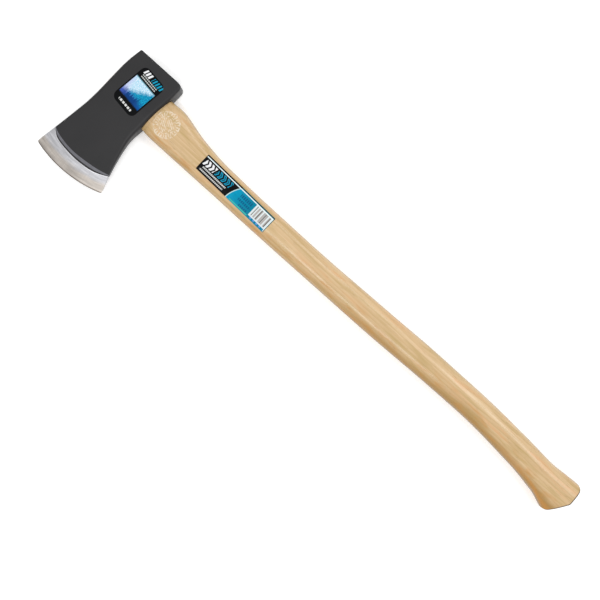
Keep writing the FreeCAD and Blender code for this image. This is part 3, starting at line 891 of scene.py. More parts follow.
@dataclass
class Print:
    """A flat print worked out in millimetres from a sticker's middle.

    Attributes:
        tree: the material's node tree.
        place: position in the shared frame.
        middle: the sticker's middle, in the shared frame, in metres.
        turn: how far the print is turned, in degrees.
    """

    tree: Tree
    place: Socket
    middle: tuple[float, float, float]
    turn: float
    u: Socket = field(init=False)
    v: Socket = field(init=False)
    flat: Socket = field(init=False)
    colour: Optional[Socket] = field(init=False, default=None)

    def __post_init__(self) -> None:
        """Set up the print's own axes: u along its length or width, v across."""
        move = add_node(self.tree, "Mapping", {
            "Vector": self.place, "Location": self.middle, "Rotation": (0, 0, math.radians(self.turn)),
            "Scale": (MM, MM, MM)}, vector_type="TEXTURE")
        part = add_node(self.tree, "SeparateXYZ", {0: move.outputs[0]})
        self.u, self.v = part.outputs["X"], part.outputs["Y"]
        self.flat = add_node(self.tree, "CombineXYZ", {
            "X": self.u, "Y": self.v, "Z": 0.0}).outputs[0]

    def lean(self, base: Value, other: Socket, factor: float) -> Socket:
        """A coordinate leaned or stirred by another value: base plus factor times other."""
        return add_node(self.tree, "Math", {0: other, 1: factor, 2: base},
                        operation="MULTIPLY_ADD").outputs[0]

    def away(self, value: Socket, centre: float) -> Socket:
        """How far value is from centre, either way."""
        off = add_node(self.tree, "Math", {0: value, 1: centre}, operation="SUBTRACT")
        return add_node(self.tree, "Math", {0: off.outputs[0]},
                        operation="ABSOLUTE").outputs[0]

    def between(self, value: Socket, low: float, high: float, soft: float = 0.08) -> Socket:
        """A mask: 1 where value lies between low and high.

        Args:
            value: what is compared.
            low: lower limit, in mm.
            high: upper limit, in mm.
            soft: half the width of the blurred border, in mm.

        Returns:
            The mask.
        """
        centre, half = (low + high) / 2, (high - low) / 2
        return add_node(self.tree, "MapRange", {
            "Value": self.away(value, centre), "From Min": half + soft,
            "From Max": half - soft}).outputs["Result"]

    def box(self, u0: float, u1: float, v0: float, v1: float, lean: float = 0.0,
            soft: float = 0.08) -> Socket:
        """A mask over a box, with its two short sides leaning by lean mm for each mm of v."""
        u = self.lean(self.u, self.v, -lean) if lean else self.u
        return self.both(self.between(u, u0, u1, soft), self.between(self.v, v0, v1, soft))

    def bars(self, value: Socket, pitch: float, share: float, soft: float = 0.06) -> Socket:
        """A mask of even bars: pitch apart, each filling its share of that.

        Args:
            value: what the bars count along.
            pitch: from one bar to the next, in mm.
            share: how much of the pitch a bar fills.
            soft: width of the blurred border, as a share of the pitch.

        Returns:
            The mask.
        """
        count = add_node(self.tree, "Math", {0: value, 1: pitch}, operation="DIVIDE")
        saw = add_node(self.tree, "Math", {0: count.outputs[0]}, operation="FRACT")
        return add_node(self.tree, "MapRange", {
            "Value": self.away(saw.outputs[0], 0.5), "From Min": (share + soft) / 2,
            "From Max": (share - soft) / 2}).outputs["Result"]

    def noise(self, scale: float, detail: float = 2.0, stretch: tuple[float, float] = (1, 1)) -> Socket:
        """Soft noise over the print; scale is in blobs for each mm."""
        return streaks(self.tree, self.flat, (stretch[0] * scale, stretch[1] * scale, 1.0), detail,
                       0.55)

    def join(self, operation: str, masks: Sequence[Value]) -> Value:
        """Work several masks into one, two at a time.

        Args:
            operation: how two masks make one.
            masks: the masks.

        Returns:
            One mask.
        """
        whole = masks[0]
        for mask in masks[1:]:
            whole = add_node(self.tree, "Math", {0: whole, 1: mask},
                             operation=operation).outputs[0]
        return whole

    def both(self, *masks: Value) -> Value:
        """Where all masks hold."""
        return self.join("MULTIPLY", masks)

    def either(self, *masks: Value) -> Value:
        """Where any mask holds."""
        return self.join("MAXIMUM", masks)

    def lay(self, mask: Value, ink: Union[str, Socket]) -> None:
        """Print a colour where the mask holds, over what is there.

        Args:
            mask: where it is printed.
            ink: its colour, as hex digits or a socket.
        """
        top = linear(ink) if isinstance(ink, str) else ink
        if self.colour is None:
            self.colour = add_node(self.tree, "Mix", {6: top, 7: top, 0: 0.0},
                                   data_type="RGBA").outputs[2]
            return
        self.colour = add_node(self.tree, "Mix", {0: mask, 6: self.colour, 7: top},
                               data_type="RGBA").outputs[2]

    def ramp(self, value: Socket, low: float, high: float, first: str, last: str) -> Socket:
        """A colour that runs from first to last as value goes from low to high."""
        share = add_node(self.tree, "MapRange", {
            "Value": value, "From Min": low, "From Max": high}).outputs["Result"]
        return add_node(self.tree, "Mix", {
            0: share, 6: linear(first), 7: linear(last)}, data_type="RGBA").outputs[2]

    def finish(self) -> None:
        """Close the printed film's material: the ink under clear gloss, very slightly rippled."""
        ripple = self.noise(0.12, 2.0)
        bump = add_node(self.tree, "Bump", {
            "Height": ripple, "Strength": 0.3, "Distance": 0.0003})
        dull = add_node(self.tree, "MapRange", {
            "Value": ripple, "From Min": 0.3, "From Max": 0.7, "To Min": 0.34, "To Max": 0.44})
        close_material(self.tree, {
            "Base Color": self.colour, "Roughness": dull.outputs["Result"], "IOR": 1.16,
            "Normal": bump.outputs["Normal"]})


@dataclass(frozen=True)
class CheekPrint:
    """Polypropylene film printed with a snowfield over dark firs, for the head's upper cheek.

    It gives a glossy near-black sticker with an icy picture that turns from white through blue and
    teal to black spikes, under two rows of plain slanted bars.

    Attributes:
        middle: the sticker's middle, in the shared frame.
        turn: how far it is turned, in degrees.
    """

    middle: tuple[float, float, float]
    turn: float
    film: str = "07080a"

    def make(self) -> Material:
        """Build the material. Along u the head's toe is on the left; v runs up to the poll.

        Returns:
            The material.
        """
        material, tree, place = new_material("film_printed_polypropylene_cheek")
        p = Print(tree, place, self.middle, self.turn)
        p.lay(1.0, self.film)
        picture = p.box(-19.8, 19.8, -19.6, 14.4)
        drift = p.noise(0.16, 4.0)
        speck = p.noise(0.6, 3.0)
        slope = p.lean(p.lean(p.v, p.u, -0.75), drift, 13.0)
        p.lay(picture, p.ramp(speck, 0.42, 0.60, "0a6f9f", "16a2c4"))
        snow = add_node(tree, "MapRange", {
            "Value": slope, "From Min": 1.5, "From Max": 9.5}).outputs["Result"]
        p.lay(p.both(picture, snow), p.ramp(speck, 0.40, 0.62, "93cbe4", "dfe9f2"))
        lilac = add_node(tree, "MapRange", {
            "Value": p.lean(p.lean(p.u, p.v, 0.3), drift, 9.0),
            "From Min": -7.0, "From Max": -15.0}).outputs["Result"]
        p.lay(p.both(picture, lilac), "bcc6e6")
        low = add_node(tree, "MapRange", {
            "Value": p.lean(p.v, speck, 7.0), "From Min": -3.0,
            "From Max": -11.5}).outputs["Result"]
        p.lay(p.both(picture, low), p.ramp(p.u, -16.0, 14.0, "4157ae", "0c4f93"))
        fir = add_node(tree, "Math", {0: p.lean(p.u, p.noise(0.5), 3.0), 1: 1.9},
                       operation="PINGPONG").outputs[0]
        crest = p.lean(p.lean(-22.5, p.noise(0.16, 1.0, (1.0, 0.02)), 30.0), fir, -3.4)
        woods = add_node(tree, "MapRange", {
            "Value": p.lean(p.v, crest, -1.0), "From Min": 0.8,
            "From Max": -0.8}).outputs["Result"]
        p.lay(p.both(picture, woods, p.between(p.u, -13.0, 12.0, 5.0)), "0c3c78")
        hem = add_node(tree, "MapRange", {
            "Value": p.lean(p.v, speck, 4.0), "From Min": -15.6,
            "From Max": -17.8}).outputs["Result"]
        p.lay(p.both(picture, hem), "0a1226")
        p.lay(p.box(-19.8, 19.8, 13.3, 14.5), "5f8f9c")
        lean = p.lean(p.u, p.v, -0.28)
        p.lay(p.both(p.between(lean, -23.2, -9.5), p.between(p.v, 23.2, 30.8), p.bars(lean, 4.9, 0.62)),
              "e6e8ea")
        p.lay(p.both(p.between(lean, -6.5, 14.6), p.between(p.v, 23.2, 30.8), p.bars(lean, 4.6, 0.52)),
              "1593b4")
        rows = p.either(p.between(p.v, 20.4, 21.9), p.between(p.v, 17.0, 18.6))
        p.lay(p.both(rows, p.between(p.u, -14.5, 15.0), p.bars(p.u, 3.1, 0.74)), "c3c7c4")
        p.lay(p.both(p.between(p.u, -12.0, 13.5), p.between(p.v, -28.2, -25.0), p.bars(p.u, 5.1, 0.7)),
              "d4d5d3")
        p.finish()
        return material


@dataclass(frozen=True)
class GripPrint:
    """Polypropylene film printed black and teal, wrapped over the upper side of the handle.

    It gives a glossy band: black with white and bright blue chevrons, then teal with darker bars,
    and a white panel of grey strokes at the knob end.

    Attributes:
        middle: the sticker's middle, in the shared frame.
        turn: how far it is turned, in degrees.
    """

    middle: tuple[float, float, float]
    turn: float
    film: str = "08090b"

    def make(self) -> Material:
        """Build the material. Along u the head's end is at -66; v runs up to the poll's side.

        Returns:
            The material.
        """
        material, tree, place = new_material("film_printed_polypropylene_grip")
        p = Print(tree, place, self.middle, self.turn)
        p.lay(1.0, self.film)
        square = add_node(tree, "Math", {0: p.v, 1: p.v}, operation="MULTIPLY").outputs[0]
        bow = p.lean(p.lean(p.u, p.v, -0.39), square, -0.0115)
        right = add_node(tree, "MapRange", {
            "Value": bow, "From Min": -4.6, "From Max": -4.2}).outputs["Result"]
        sea = p.lean(p.u, p.noise(0.09, 3.0, (0.5, 1.0)), 22.0)
        p.lay(right, p.ramp(sea, 4.0, 40.0, "00a3c9", "00859f"))
        p.lay(p.both(right, p.noise(0.35, 3.0, (0.5, 1.0)), 0.6), "005a80")
        p.lay(p.between(bow, -5.3, -3.9), "b9d5d6")
        lean = p.lean(p.u, p.v, -0.30)
        chevron = p.lean(p.u, p.away(p.v, 3.0), 0.55)
        p.lay(p.both(p.between(lean, -64.0, -44.0), p.between(p.v, -2.2, 7.6),
                     p.bars(chevron, 6.4, 0.6)), "e3e4e6")
        p.lay(p.both(p.between(lean, -41.0, -12.5), p.between(p.v, -1.8, 8.2),
                     p.bars(chevron, 7.0, 0.56)), "17a0c8")
        p.lay(p.both(p.between(lean, -41.0, -12.5), p.between(p.v, -1.0, 7.4),
                     p.bars(p.lean(0.1, chevron, 1.0), 7.0, 0.26)), "0b3a4a")
        rows = p.either(p.between(p.v, -6.3, -3.9), p.between(p.v, -11.0, -8.8))
        p.lay(p.both(rows, p.box(-59.0, -14.0, -12.0, 0.0, 0.4), p.bars(lean, 2.7, 0.72)), "c9cac8")
        marks = p.either(p.box(8.0, 30.0, 1.2, 6.6), p.box(8.0, 31.0, -4.6, -0.8),
                         p.box(14.0, 30.0, -10.4, -7.0))
        p.lay(p.both(marks, p.bars(p.u, 3.3, 0.66), right), "07597f")
        p.lay(p.both(p.box(-2.0, 33.0, -12.6, -10.9), right), "3fb3a4")
        p.lay(p.box(34.0, 65.0, -9.6, 11.6), "d3dcdd")
        p.lay(p.both(p.box(37.0, 63.0, -7.6, 9.2), p.bars(p.u, 4.9, 0.56)), "aaa5a2")
        p.lay(p.both(p.box(37.0, 63.0, -7.6, 9.2), p.bars(p.u, 8.3, 0.18)), "5a5853")
        p.lay(p.both(p.box(36.0, 63.0, -12.2, -9.6), p.bars(p.u, 6.1, 0.5)), "5f8fd0")
        p.lay(p.either(p.box(-66.0, 65.6, 9.9, 11.7), p.box(65.0, 66.0, -13.0, 11.4)), "dcebec")
        p.lay(p.box(-70.0, 2.0, 11.4, 14.5), "14100f")
        p.lay(p.either(p.box(2.0, 70.0, 11.4, 14.5), p.box(66.0, 70.0, -14.5, 14.5)), "0c4a52")
        p.finish()
        return material


@dataclass(frozen=True)
class StudioPaper:
    """Seamless paper floor, matt white, lit faintly from below as on a light table.

    It gives a clean white ground with a faint soft shadow and the barest fibre.

    Attributes:
        fibre_mm: width of the paper's mottle, drawn coarse enough to be there at all.
    """

    white: str = "fbfbfb"
    bright: str = "fdfdfd"
    fibre_mm: float = 4.0

    def make(self) -> Material:
        """Build the material.

        Returns:
            The material.
        """
        material, tree, place = new_material("paper_seamless_matt")
        fibre = add_node(tree, "TexNoise", {
            "Vector": place, "Scale": 1000 / self.fibre_mm, "Detail": 2.0})
        tone = add_node(tree, "Mix", {
            0: fibre.outputs["Fac"], 6: linear(self.white), 7: linear(self.bright)}, data_type="RGBA")
        far = add_node(tree, "VectorMath", {0: place}, operation="LENGTH")
        glow = add_node(tree, "MapRange", {
            "Value": far.outputs["Value"], "From Min": 3.5, "From Max": 0.9},
            interpolation_type="SMOOTHSTEP")
        close_material(tree, {
            "Base Color": tone.outputs[2], "Roughness": 0.9, "IOR": 1.45,
            "Emission Color": glow.outputs["Result"], "Emission Strength": 0.25})
        return material


# ---- the head ------------------------------------------------------------------------------------
@dataclass
class ForgedHead:
    """The forged head: poll, cheeks, bit and its two ground bevels, with the eye cut through.

    Lengths are in millimetres from the eye's middle: X to the handle's knob, Y to the poll, Z up.
    """

    datum: Datum
    y: tuple[float, ...] = (-156.84, -121.8, -98.86, -75.9, -50.5, -30.0, 0.0, 30.0, 55.8)
    top: tuple[float, ...] = (66.09, 58.76, 54.32, 50.1, 45.44, 42.887, 41.0, 39.376, 35.2)
    bottom: tuple[float, ...] = (63.48, 52.1, 45.62, 40.545, 37.5, 39.04, 41.0, 44.612, 45.3)
    thickness: tuple[float, ...] = (5.4, 8.4, 10.8, 14.0, 20.2, 26.6, 33.2, 32.8, 30.2)
    corner: tuple[float, ...] = (1.2, 2.0, 2.6, 3.4, 4.2, 4.6, 4.6, 4.2, 3.2)
    cheek: float = 16.3
    poll: float = 55.8
    heel_radius: float = 8.0
    poll_bottom: float = 45.3
    poll_edge: float = 1.2
    sweep: float = 197.0
    sweep_x: float = -11.0
    sweep_y: float = 46.2
    straight_to: float = -52.0
    fine_bevel: float = 13.3
    fine_half: float = 2.3
    edge_half: float = 0.25
    paint_step: float = 0.12
    across: tuple[float, ...] = (-64.0, -55.0, -48.0, -38.0, -28.0, -8.0, 12.0, 32.0, 42.0, 49.0, 60.0)
    crease: tuple[float, ...] = (38.6, 34.2, 32.7, 32.0, 31.4, 31.0, 31.0, 29.8, 29.2, 28.9, 31.4)
    bare: tuple[float, ...] = (38.0, 33.2, 28.6, 26.2, 25.7, 24.6, 23.8, 23.9, 25.2, 26.4, 30.0)
    # painted_highlight_line: width of the painted highlight line below the paint
    painted_highlight_line: float = 0.9
    toe_x: float = -63.2
    heel_x: float = 57.5
    tip_radius: float = 3.0
    eye_length: float = 60.0
    eye_width: float = 21.2
    eye_flare: float = 2.4
    eye_height: float = 82.0
    eye_sections: tuple[float, ...] = (-48.0, -44.0, 0.0, 44.0, 50.0)
    fullness: float = 2.5
    teardrop: float = 0.13
    wave_depth: float = 0.045
    wave_fade: float = 12.0
    poll_half: float = 34.0
    search: tuple[float, float] = (-151.5, -40.0)
    first_row: float = 46.4
    row_pitch: float = 1.9

    def __post_init__(self) -> None:
        """Fit the smooth lines through the forging's stations."""
        self.top_line, self.bottom_line = Line(self.y, self.top), Line(self.y, self.bottom)
        self.thick_line, self.corner_line = Line(self.y, self.thickness), Line(self.y, self.corner)
        self.crease_line, self.bare_line = Line(self.across, self.crease), Line(self.across, self.bare)
        bend = np.sin(np.linspace(0, math.pi / 2, 8))
        self.roll = np.concatenate([bend, np.ones(58), bend[::-1]])
        self.share = np.concatenate([np.zeros(8), np.linspace(0, 1, 60)[1:-1], np.ones(8)])

    def reach(self, y: np.ndarray) -> tuple[np.ndarray, np.ndarray]:
        """How far the head reaches at y, from the eye's middle.

        Args:
            y: places along the head.

        Returns:
            Reach towards the top, and towards the underside with the poll's rounded heel.
        """
        into = np.clip(y - (self.poll - self.heel_radius), 0, self.heel_radius)
        heel = self.poll_bottom - self.heel_radius + np.sqrt(self.heel_radius ** 2 - into ** 2)
        low = self.bottom_line(y)
        return self.top_line(y), np.where(into > 0, np.minimum(low, heel), low)

    def column_x(self, y: np.ndarray) -> np.ndarray:
        """X of each column at its own y: corner columns follow the rounding, the rest are even.

        Args:
            y: Y of each column.

        Returns:
            X of each column.
        """
        top, bottom = self.reach(y)
        radius = self.corner_line(y)
        inset = radius * (1 - np.cos(np.arcsin(self.roll)))
        across = (-top + radius) + self.share * (bottom + top - 2 * radius)
        return np.where(self.share == 0, -top + inset,
                        np.where(self.share == 1, bottom - inset, across))

    def depth(self, x: np.ndarray, y: np.ndarray) -> np.ndarray:
        """Distance from the cutting edge, measured across the bevel."""
        return self.sweep - np.hypot(x - self.sweep_x, y - self.sweep_y)

    def row_at(self, target: Callable[[np.ndarray], np.ndarray]) -> np.ndarray:
        """Y of each column where its distance from the edge meets a target.

        Args:
            target: wanted distance from the edge, as a function of X.

        Returns:
            Y for each column.
        """
        low, high = [np.full(len(self.share), y) for y in self.search]
        for _ in range(HALVINGS):
            middle = (low + high) / 2
            x = self.column_x(middle)
            deep = self.depth(x, middle) > target(x)
            high = np.where(deep, middle, high)
            low = np.where(deep, low, middle)
        return (low + high) / 2

    def wave(self, x: np.ndarray, y: np.ndarray) -> np.ndarray:
        """How far the forging's surface dips below its true shape."""
        rough = np.sin(x / 8.3 + 1.3) * np.sin(y / 10.9) + np.sin((x + 1.6 * y) / 15.1)
        return self.wave_depth * (2 + rough)

    def forged_half(self, y: np.ndarray) -> np.ndarray:
        """Half thickness before grinding, eased into the two flat cheeks.

        Args:
            y: places along the head.

        Returns:
            Half the thickness at each.
        """
        half = self.thick_line(y) / 2
        soft = 0.12
        return -soft * np.logaddexp(-half / soft, -self.cheek / soft)

    def surface(self, x: np.ndarray, y: np.ndarray) -> np.ndarray:
        """Height of the painted cheek over the eye's middle plane, clear of the corners."""
        return self.forged_half(y) - self.wave(x, y)

    def half_ring(self, y: np.ndarray, inset: float = 0.0) -> np.ndarray:
        """One cross-section's upper half.

        Args:
            y: Y of each column.
            inset: how far the whole section is drawn in.

        Returns:
            Points from the top side at Z = 0, over the cheek, to the underside at Z = 0.
        """
        x = self.column_x(y)
        radius = self.corner_line(y)
        deep = self.depth(x, y)
        crease = self.crease_line(x)
        z = self.forged_half(y) - radius * (1 - self.roll)
        at_crease = self.thick_line(y) / 2
        back = np.clip((deep - self.fine_bevel) / (crease - self.fine_bevel), 0, 1)
        bevel = np.where(deep < self.fine_bevel,
                         mix(self.edge_half, self.fine_half, np.clip(deep / self.fine_bevel, 0, 1)),
                         mix(self.fine_half, self.crease_half, back))
        ground = np.where(deep < self.bare_line(x) - 0.2, self.paint_step, 0.0) * back
        z = np.where(deep < crease, np.minimum(z, bevel - ground),
                     z - self.wave(x, y) * ease((deep - crease) / self.wave_fade) * ease(self.roll))
        shrink = 1 - inset / self.poll_half
        middle = 0.5 * (x[0] + x[-1])
        x = middle + (x - middle) * shrink
        z = np.maximum(z - inset * np.clip(z / (at_crease + 1e-6), 0, 1), 0.05)
        points = np.stack([x, y, z], axis=1)
        sides = [np.array([[p[0], p[1], 0.0], [p[0], p[1], p[2] / 2]]) for p in (points[0], points[-1])]
        return np.concatenate([sides[0], points, sides[1][::-1]])

    def tip(self, x: np.ndarray, d: float) -> np.ndarray:
        """Distance from the edge, drawn back where the toe and the heel of the bit are rounded.

        Args:
            x: X of each column.
            d: distance from the edge in the middle.

        Returns:
            Distance from the edge for each column.
        """
        side = np.minimum(x - self.toe_x, self.heel_x - x)
        into = np.clip(self.tip_radius - side, 0, self.tip_radius)
        back = self.tip_radius - np.sqrt(self.tip_radius ** 2 - into ** 2)
        return d * (1 - back / self.fine_bevel) + back

    def rows(self) -> tuple[list[np.ndarray], list[float], tuple[int, int, int, int]]:
        """Where the cross-sections stand, from the poll to the edge.

        Returns:
            Y of each column for each section, each section's inset, and the section numbers where
            the lighter enamel of the painted highlight, the thick paint's lip, the painted highlight
            line on the steel and the plain bevel start.
        """
        count = len(self.share)
        bend = np.linspace(0, math.pi / 2, 7)
        rows, insets = [], []
        for turn in bend[:-1]:
            rows.append(np.full(count, self.poll - self.poll_edge * (1 - math.cos(turn))))
            insets.append(self.poll_edge * (1 - math.sin(turn)))
        heel = self.poll - self.heel_radius * (1 - np.sin(np.linspace(1.0, 0.0, 9)))
        for y in np.concatenate([heel[heel < self.poll - self.poll_edge],
                                 np.arange(self.first_row, self.straight_to, -self.row_pitch)]):
            rows.append(np.full(count, y))
            insets.append(0.0)
        crease = self.row_at(self.crease_line)
        self.crease_half = self.thick_line(crease) / 2
        for share in np.linspace(0, 1, 34)[:-1]:
            rows.append(mix(np.full(count, self.straight_to), crease, share))
        rows += [self.row_at(lambda x, d=d: self.crease_line(x) + d) for d in (0.4, 0.0)]
        # Painted highlight: from here the painted rim of the bevel takes the lighter grey enamel.
        thin = len(rows) - 1
        for share in (0.93, 0.65, 0.38, 0.2, 0.0):
            rows.append(self.row_at(lambda x, f=share: mix(self.bare_line(x), self.crease_line(x), f)))
        bare = len(rows) - 1
        for d in (0.25, self.painted_highlight_line, self.painted_highlight_line + 0.4):
            rows.append(self.row_at(lambda x, d=d: self.bare_line(x) - d))
        start, fine = rows[-1], self.row_at(lambda x: np.full_like(x, self.fine_bevel + 0.5))
        rows += [mix(start, fine, s) for s in np.linspace(0, 1, 9)[1:]]
        for d in [self.fine_bevel, *np.linspace(self.fine_bevel - 0.5, 0.0, 14)]:
            rows.append(self.row_at(lambda x, d=d: self.tip(x, d)))
        insets += [0.0] * (len(rows) - len(insets))
        return rows, insets, (thin, bare - 2, bare, bare + 2)

    def eye_cutter(self) -> Body:
        """The eye's tapered oval as a solid to cut with.

        Returns:
            The cutter.
        """
        turns = np.linspace(0, math.pi, 33)
        rings = []
        for x in self.eye_sections:
            grow = self.eye_flare * (self.eye_height / 2 - x) / self.eye_height
            along = np.sign(np.cos(turns)) * np.abs(np.cos(turns)) ** (2 / self.fullness)
            z = (self.eye_width + grow) / 2 * (1 + self.teardrop * along)
            z = z * np.abs(np.sin(turns)) ** (2 / self.fullness)
            y = (self.eye_length + grow) / 2 * along
            rings.append(np.stack([np.full_like(y, x), y, z], axis=1))
            rings[-1][[0, -1], 2] = 0
        points, faces, _ = skin_of(rings)
        return make_object("eye_cutter", self.datum.place(points), faces, [])

    def build(self, paint: Material, painted_highlight_enamel: Material,
              steel: Material, painted_highlight_line: Material) -> Body:
        """Make the head.

        Args:
            paint: finish of the forging.
            painted_highlight_enamel: finish of the bevel's upper rim, a lighter grey enamel that paints
                the highlight this rim catches.
            steel: finish of the ground bevels.
            painted_highlight_line: finish of the bright line where grinding meets paint, a painted
                highlight.

        Returns:
            The head.
        """
        rows, insets, (thin, lip, bare, plain) = self.rows()
        rings = [self.half_ring(y, inset) for y, inset in zip(rows, insets)]
        points, faces, bands = skin_of(rings)
        starts = np.array([thin, lip, bare, plain])
        order = (0, 1, 0, 3, 2)  # paint, enamel with a painted highlight, the paint's lip, steel with a painted highlight line, steel
        finish = [0 if b == -1 else 2 if b == -2 else order[int(np.sum(b >= starts))] for b in bands]
        head = make_object("forged_head", within_cad(self.datum.place(points)), faces,
                           [paint, painted_highlight_enamel, steel, painted_highlight_line], finish)
        carve(head, self.eye_cutter())
        shade(head, 34.0)
        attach(head, "root")
        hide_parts("axe_head")
        return head


# ---- the handle ----------------------------------------------------------------------------------
@dataclass
class HickoryHandle:
    """The one-piece handle: wedged tongue, shoulder, grip, neck and sawn knob.

    Lengths are in millimetres from the eye's middle. Each station is an oval from back to front.
    """

    datum: Datum
    x: tuple[float, ...] = (
        44.912, 53, 71, 80, 97, 114, 132, 158, 188, 217, 275, 333, 392, 450, 509, 562.713, 621.713,
        679.713, 715.713, 745.713, 767.713, 787.713, 802.713, 815.713, 827.713, 839.713, 853.713,
        875.713)
    back: tuple[float, ...] = (
        30.2, 30.7, 30.8, 29.1, 24.9, 20.8, 18.0, 14.7, 13.4, 12.4, 11.8, 11.4, 11.9, 13.3, 14.6,
        16.1, 16.3, 16.0, 14.8, 13.2, 12.0, 10.5, 9.4, 9.0, 9.9, 10.7, 11.5, 12.2)
    front: tuple[float, ...] = (
        -30.5, -31.1, -31.4, -31.4, -31.4, -31.4, -31.4, -31.4, -31.4, -31.7, -31.9, -31.7, -31.3,
        -31.1, -30.2, -28.5, -27.4, -27.5, -29.5, -32.0, -33.9, -36.5, -39.2, -41.6, -45.6, -50.2,
        -55.0, -61.4)
    thickness: tuple[float, ...] = (
        23.0, 25.0, 25.6, 25.9, 26.3, 26.6, 26.7, 26.6, 26.6, 26.6, 26.6, 26.6, 26.6, 26.6, 27.0,
        27.8, 28.6, 28.6, 28.6, 28.6, 28.9, 29.2, 29.5, 29.6, 29.6, 29.6, 29.6, 29.6)
    side: tuple[float, ...] = (
        2.5, 2.9, 3.3, 3.4, 3.4, 3.2, 3.0, 2.8, 2.6, 2.5, 2.4, 2.4, 2.4, 2.4, 2.4, 2.4, 2.4, 2.4,
        2.4, 2.4, 2.4, 2.4, 2.4, 2.4, 2.4, 2.4, 2.4, 2.4)
    end: tuple[float, ...] = (
        2.5, 2.3, 2.0, 1.9, 1.8, 1.8, 1.8, 1.85, 1.9, 1.95, 2.0, 2.0, 2.0, 2.0, 2.0, 2.0, 2.0, 2.0,
        2.0, 2.05, 2.1, 2.15, 2.2, 2.2, 2.2, 2.2, 2.2, 2.2)
    teardrop: tuple[float, ...] = (
        .13, .12, .12, .12, .12, .10, .08, .06, .05, .04, .04, .04, .04, .04, .04, .03, .02, .02,
        .02, .02, .02, .02, .03, .04, .05, .06, .07, .08)
    end_x: float = 865.713
    knob_back: float = 12.4
    knob_face: float = -19.0
    knob_heel: float = -50.1
    cut_angle: float = 33.0
    corner: float = 9.0
    rim: float = 2.4
    tongue_gap: float = 0.12
    top_back: tuple[float, float] = (-39.376, 30.0)
    top_front: tuple[float, float] = (-42.887, -30.0)
    wedge_half: float = 3.2
    kerf_half: float = 0.8
    wedge_depth: float = 52.5
    kerf_depth: float = 62.3
    steel_depth: float = 27.1
    steel_half: float = 1.7
    steel_tip_half: float = 0.4
    steel_width: float = 18.23
    steel_turn: float = 52.0
    steel_y: tuple[float, float] = (12.9, -12.9)
    knob_from: float = 800.0
    face_centre: float = -19.0

    def __post_init__(self) -> None:
        """Fit the smooth lines and space the points evenly round an ordinary section."""
        names = (self.back, self.front, self.thickness, self.side, self.end, self.teardrop)
        self.lines = [Line(self.x, values) for values in names]
        fine = np.linspace(0, math.pi, 1200)
        y, z = self.oval(np.full_like(fine, 400.0), fine)
        run = np.concatenate([[0], np.cumsum(np.hypot(np.diff(y), np.diff(z)))])
        self.turns = np.interp(np.linspace(0, run[-1], 41), run, fine)

    def oval(self, x: np.ndarray, turn: np.ndarray) -> tuple[np.ndarray, np.ndarray]:
        """A place on the wood's surface.

        Args:
            x: along the handle.
            turn: round the section, 0 at the back and pi at the front.

        Returns:
            Y and Z.
        """
        back, front, thickness, side, end, teardrop = [line(x) for line in self.lines]
        along = np.sign(np.cos(turn)) * np.abs(np.cos(turn)) ** (2 / side)
        z = thickness / 2 * (1 + teardrop * along) * np.abs(np.sin(turn)) ** (2 / end)
        return (back + front) / 2 + (back - front) / 2 * along, z

    def surface(self, x: np.ndarray, y: np.ndarray) -> np.ndarray:
        """Height of the wood's upper side at a place.

        Args:
            x: along the handle.
            y: across it.

        Returns:
            Z.
        """
        back, front, thickness, side, end, teardrop = [line(x) for line in self.lines]
        along = np.clip((y - (back + front) / 2) / ((back - front) / 2), -1, 1)
        inside = np.clip(1 - np.abs(along) ** side, 0, 1)
        return thickness / 2 * (1 + teardrop * along) * inside ** (1 / end)

    def knob_x(self, y: np.ndarray) -> np.ndarray:
        """X of the knob's sawn outline at y: square face, sloping cut, rounded corners.

        Args:
            y: places across the knob.

        Returns:
            X of the outline at each.
        """
        lean = math.radians(self.cut_angle)
        r = self.corner
        square = np.full_like(y, self.end_x)
        sloped = self.end_x - math.tan(lean) * (self.knob_face - y)
        soft = 0.35
        outline = -soft * np.logaddexp(-(square - self.end_x) / soft,
                                       -(sloped - self.end_x) / soft) + self.end_x
        outline = np.minimum(outline, self.end_x)
        back_in = np.clip(y - (self.knob_back - r), 0, r)
        outline = np.minimum(outline, self.end_x - r + np.sqrt(r * r - back_in ** 2))
        heel_y = self.knob_heel + r
        heel_x = self.end_x - (r + math.sin(lean) * (self.knob_face - heel_y)) / math.cos(lean)
        arc = heel_x + np.sqrt(np.clip(r * r - np.clip(heel_y - y, 0, r) ** 2, 0, None))
        return np.where(y < heel_y - r * math.sin(lean), np.minimum(outline, arc), outline)

    def ends(self) -> np.ndarray:
        """X where each of the handle's lengthwise lines meets the knob's sawn outline.

        Returns:
            X for each line.
        """
        low, high = np.full(len(self.turns), self.knob_from), np.full(len(self.turns), self.end_x)
        for _ in range(HALVINGS):
            middle = (low + high) / 2
            short = middle < self.knob_x(self.oval(middle, self.turns)[0])
            low, high = np.where(short, middle, low), np.where(short, high, middle)
        return (low + high) / 2

    def ring(self, x: np.ndarray) -> np.ndarray:
        """Upper half of one section, each point at its own X.

        Args:
            x: X of each point.

        Returns:
            The section's points.
        """
        y, z = self.oval(x, self.turns)
        points = np.stack([x, np.maximum(y, self.knob_heel), z], axis=1)
        points[[0, -1], 2] = 0
        return points

    def tongue_ring(self, x: np.ndarray, head: ForgedHead) -> np.ndarray:
        """Upper half of one section of the tongue, a hair inside the head's eye.

        Args:
            x: X of each point.
            head: the head whose eye it fills.

        Returns:
            The section's points.
        """
        grow = head.eye_flare * (head.eye_height / 2 - x) / head.eye_height - 2 * self.tongue_gap
        along = np.sign(np.cos(self.turns)) * np.abs(np.cos(self.turns)) ** (2 / head.fullness)
        z = (head.eye_width + grow) / 2 * (1 + head.teardrop * along)
        z = z * np.abs(np.sin(self.turns)) ** (2 / head.fullness)
        points = np.stack([x, (head.eye_length + grow) / 2 * along, z], axis=1)
        points[[0, -1], 2] = 0
        return points

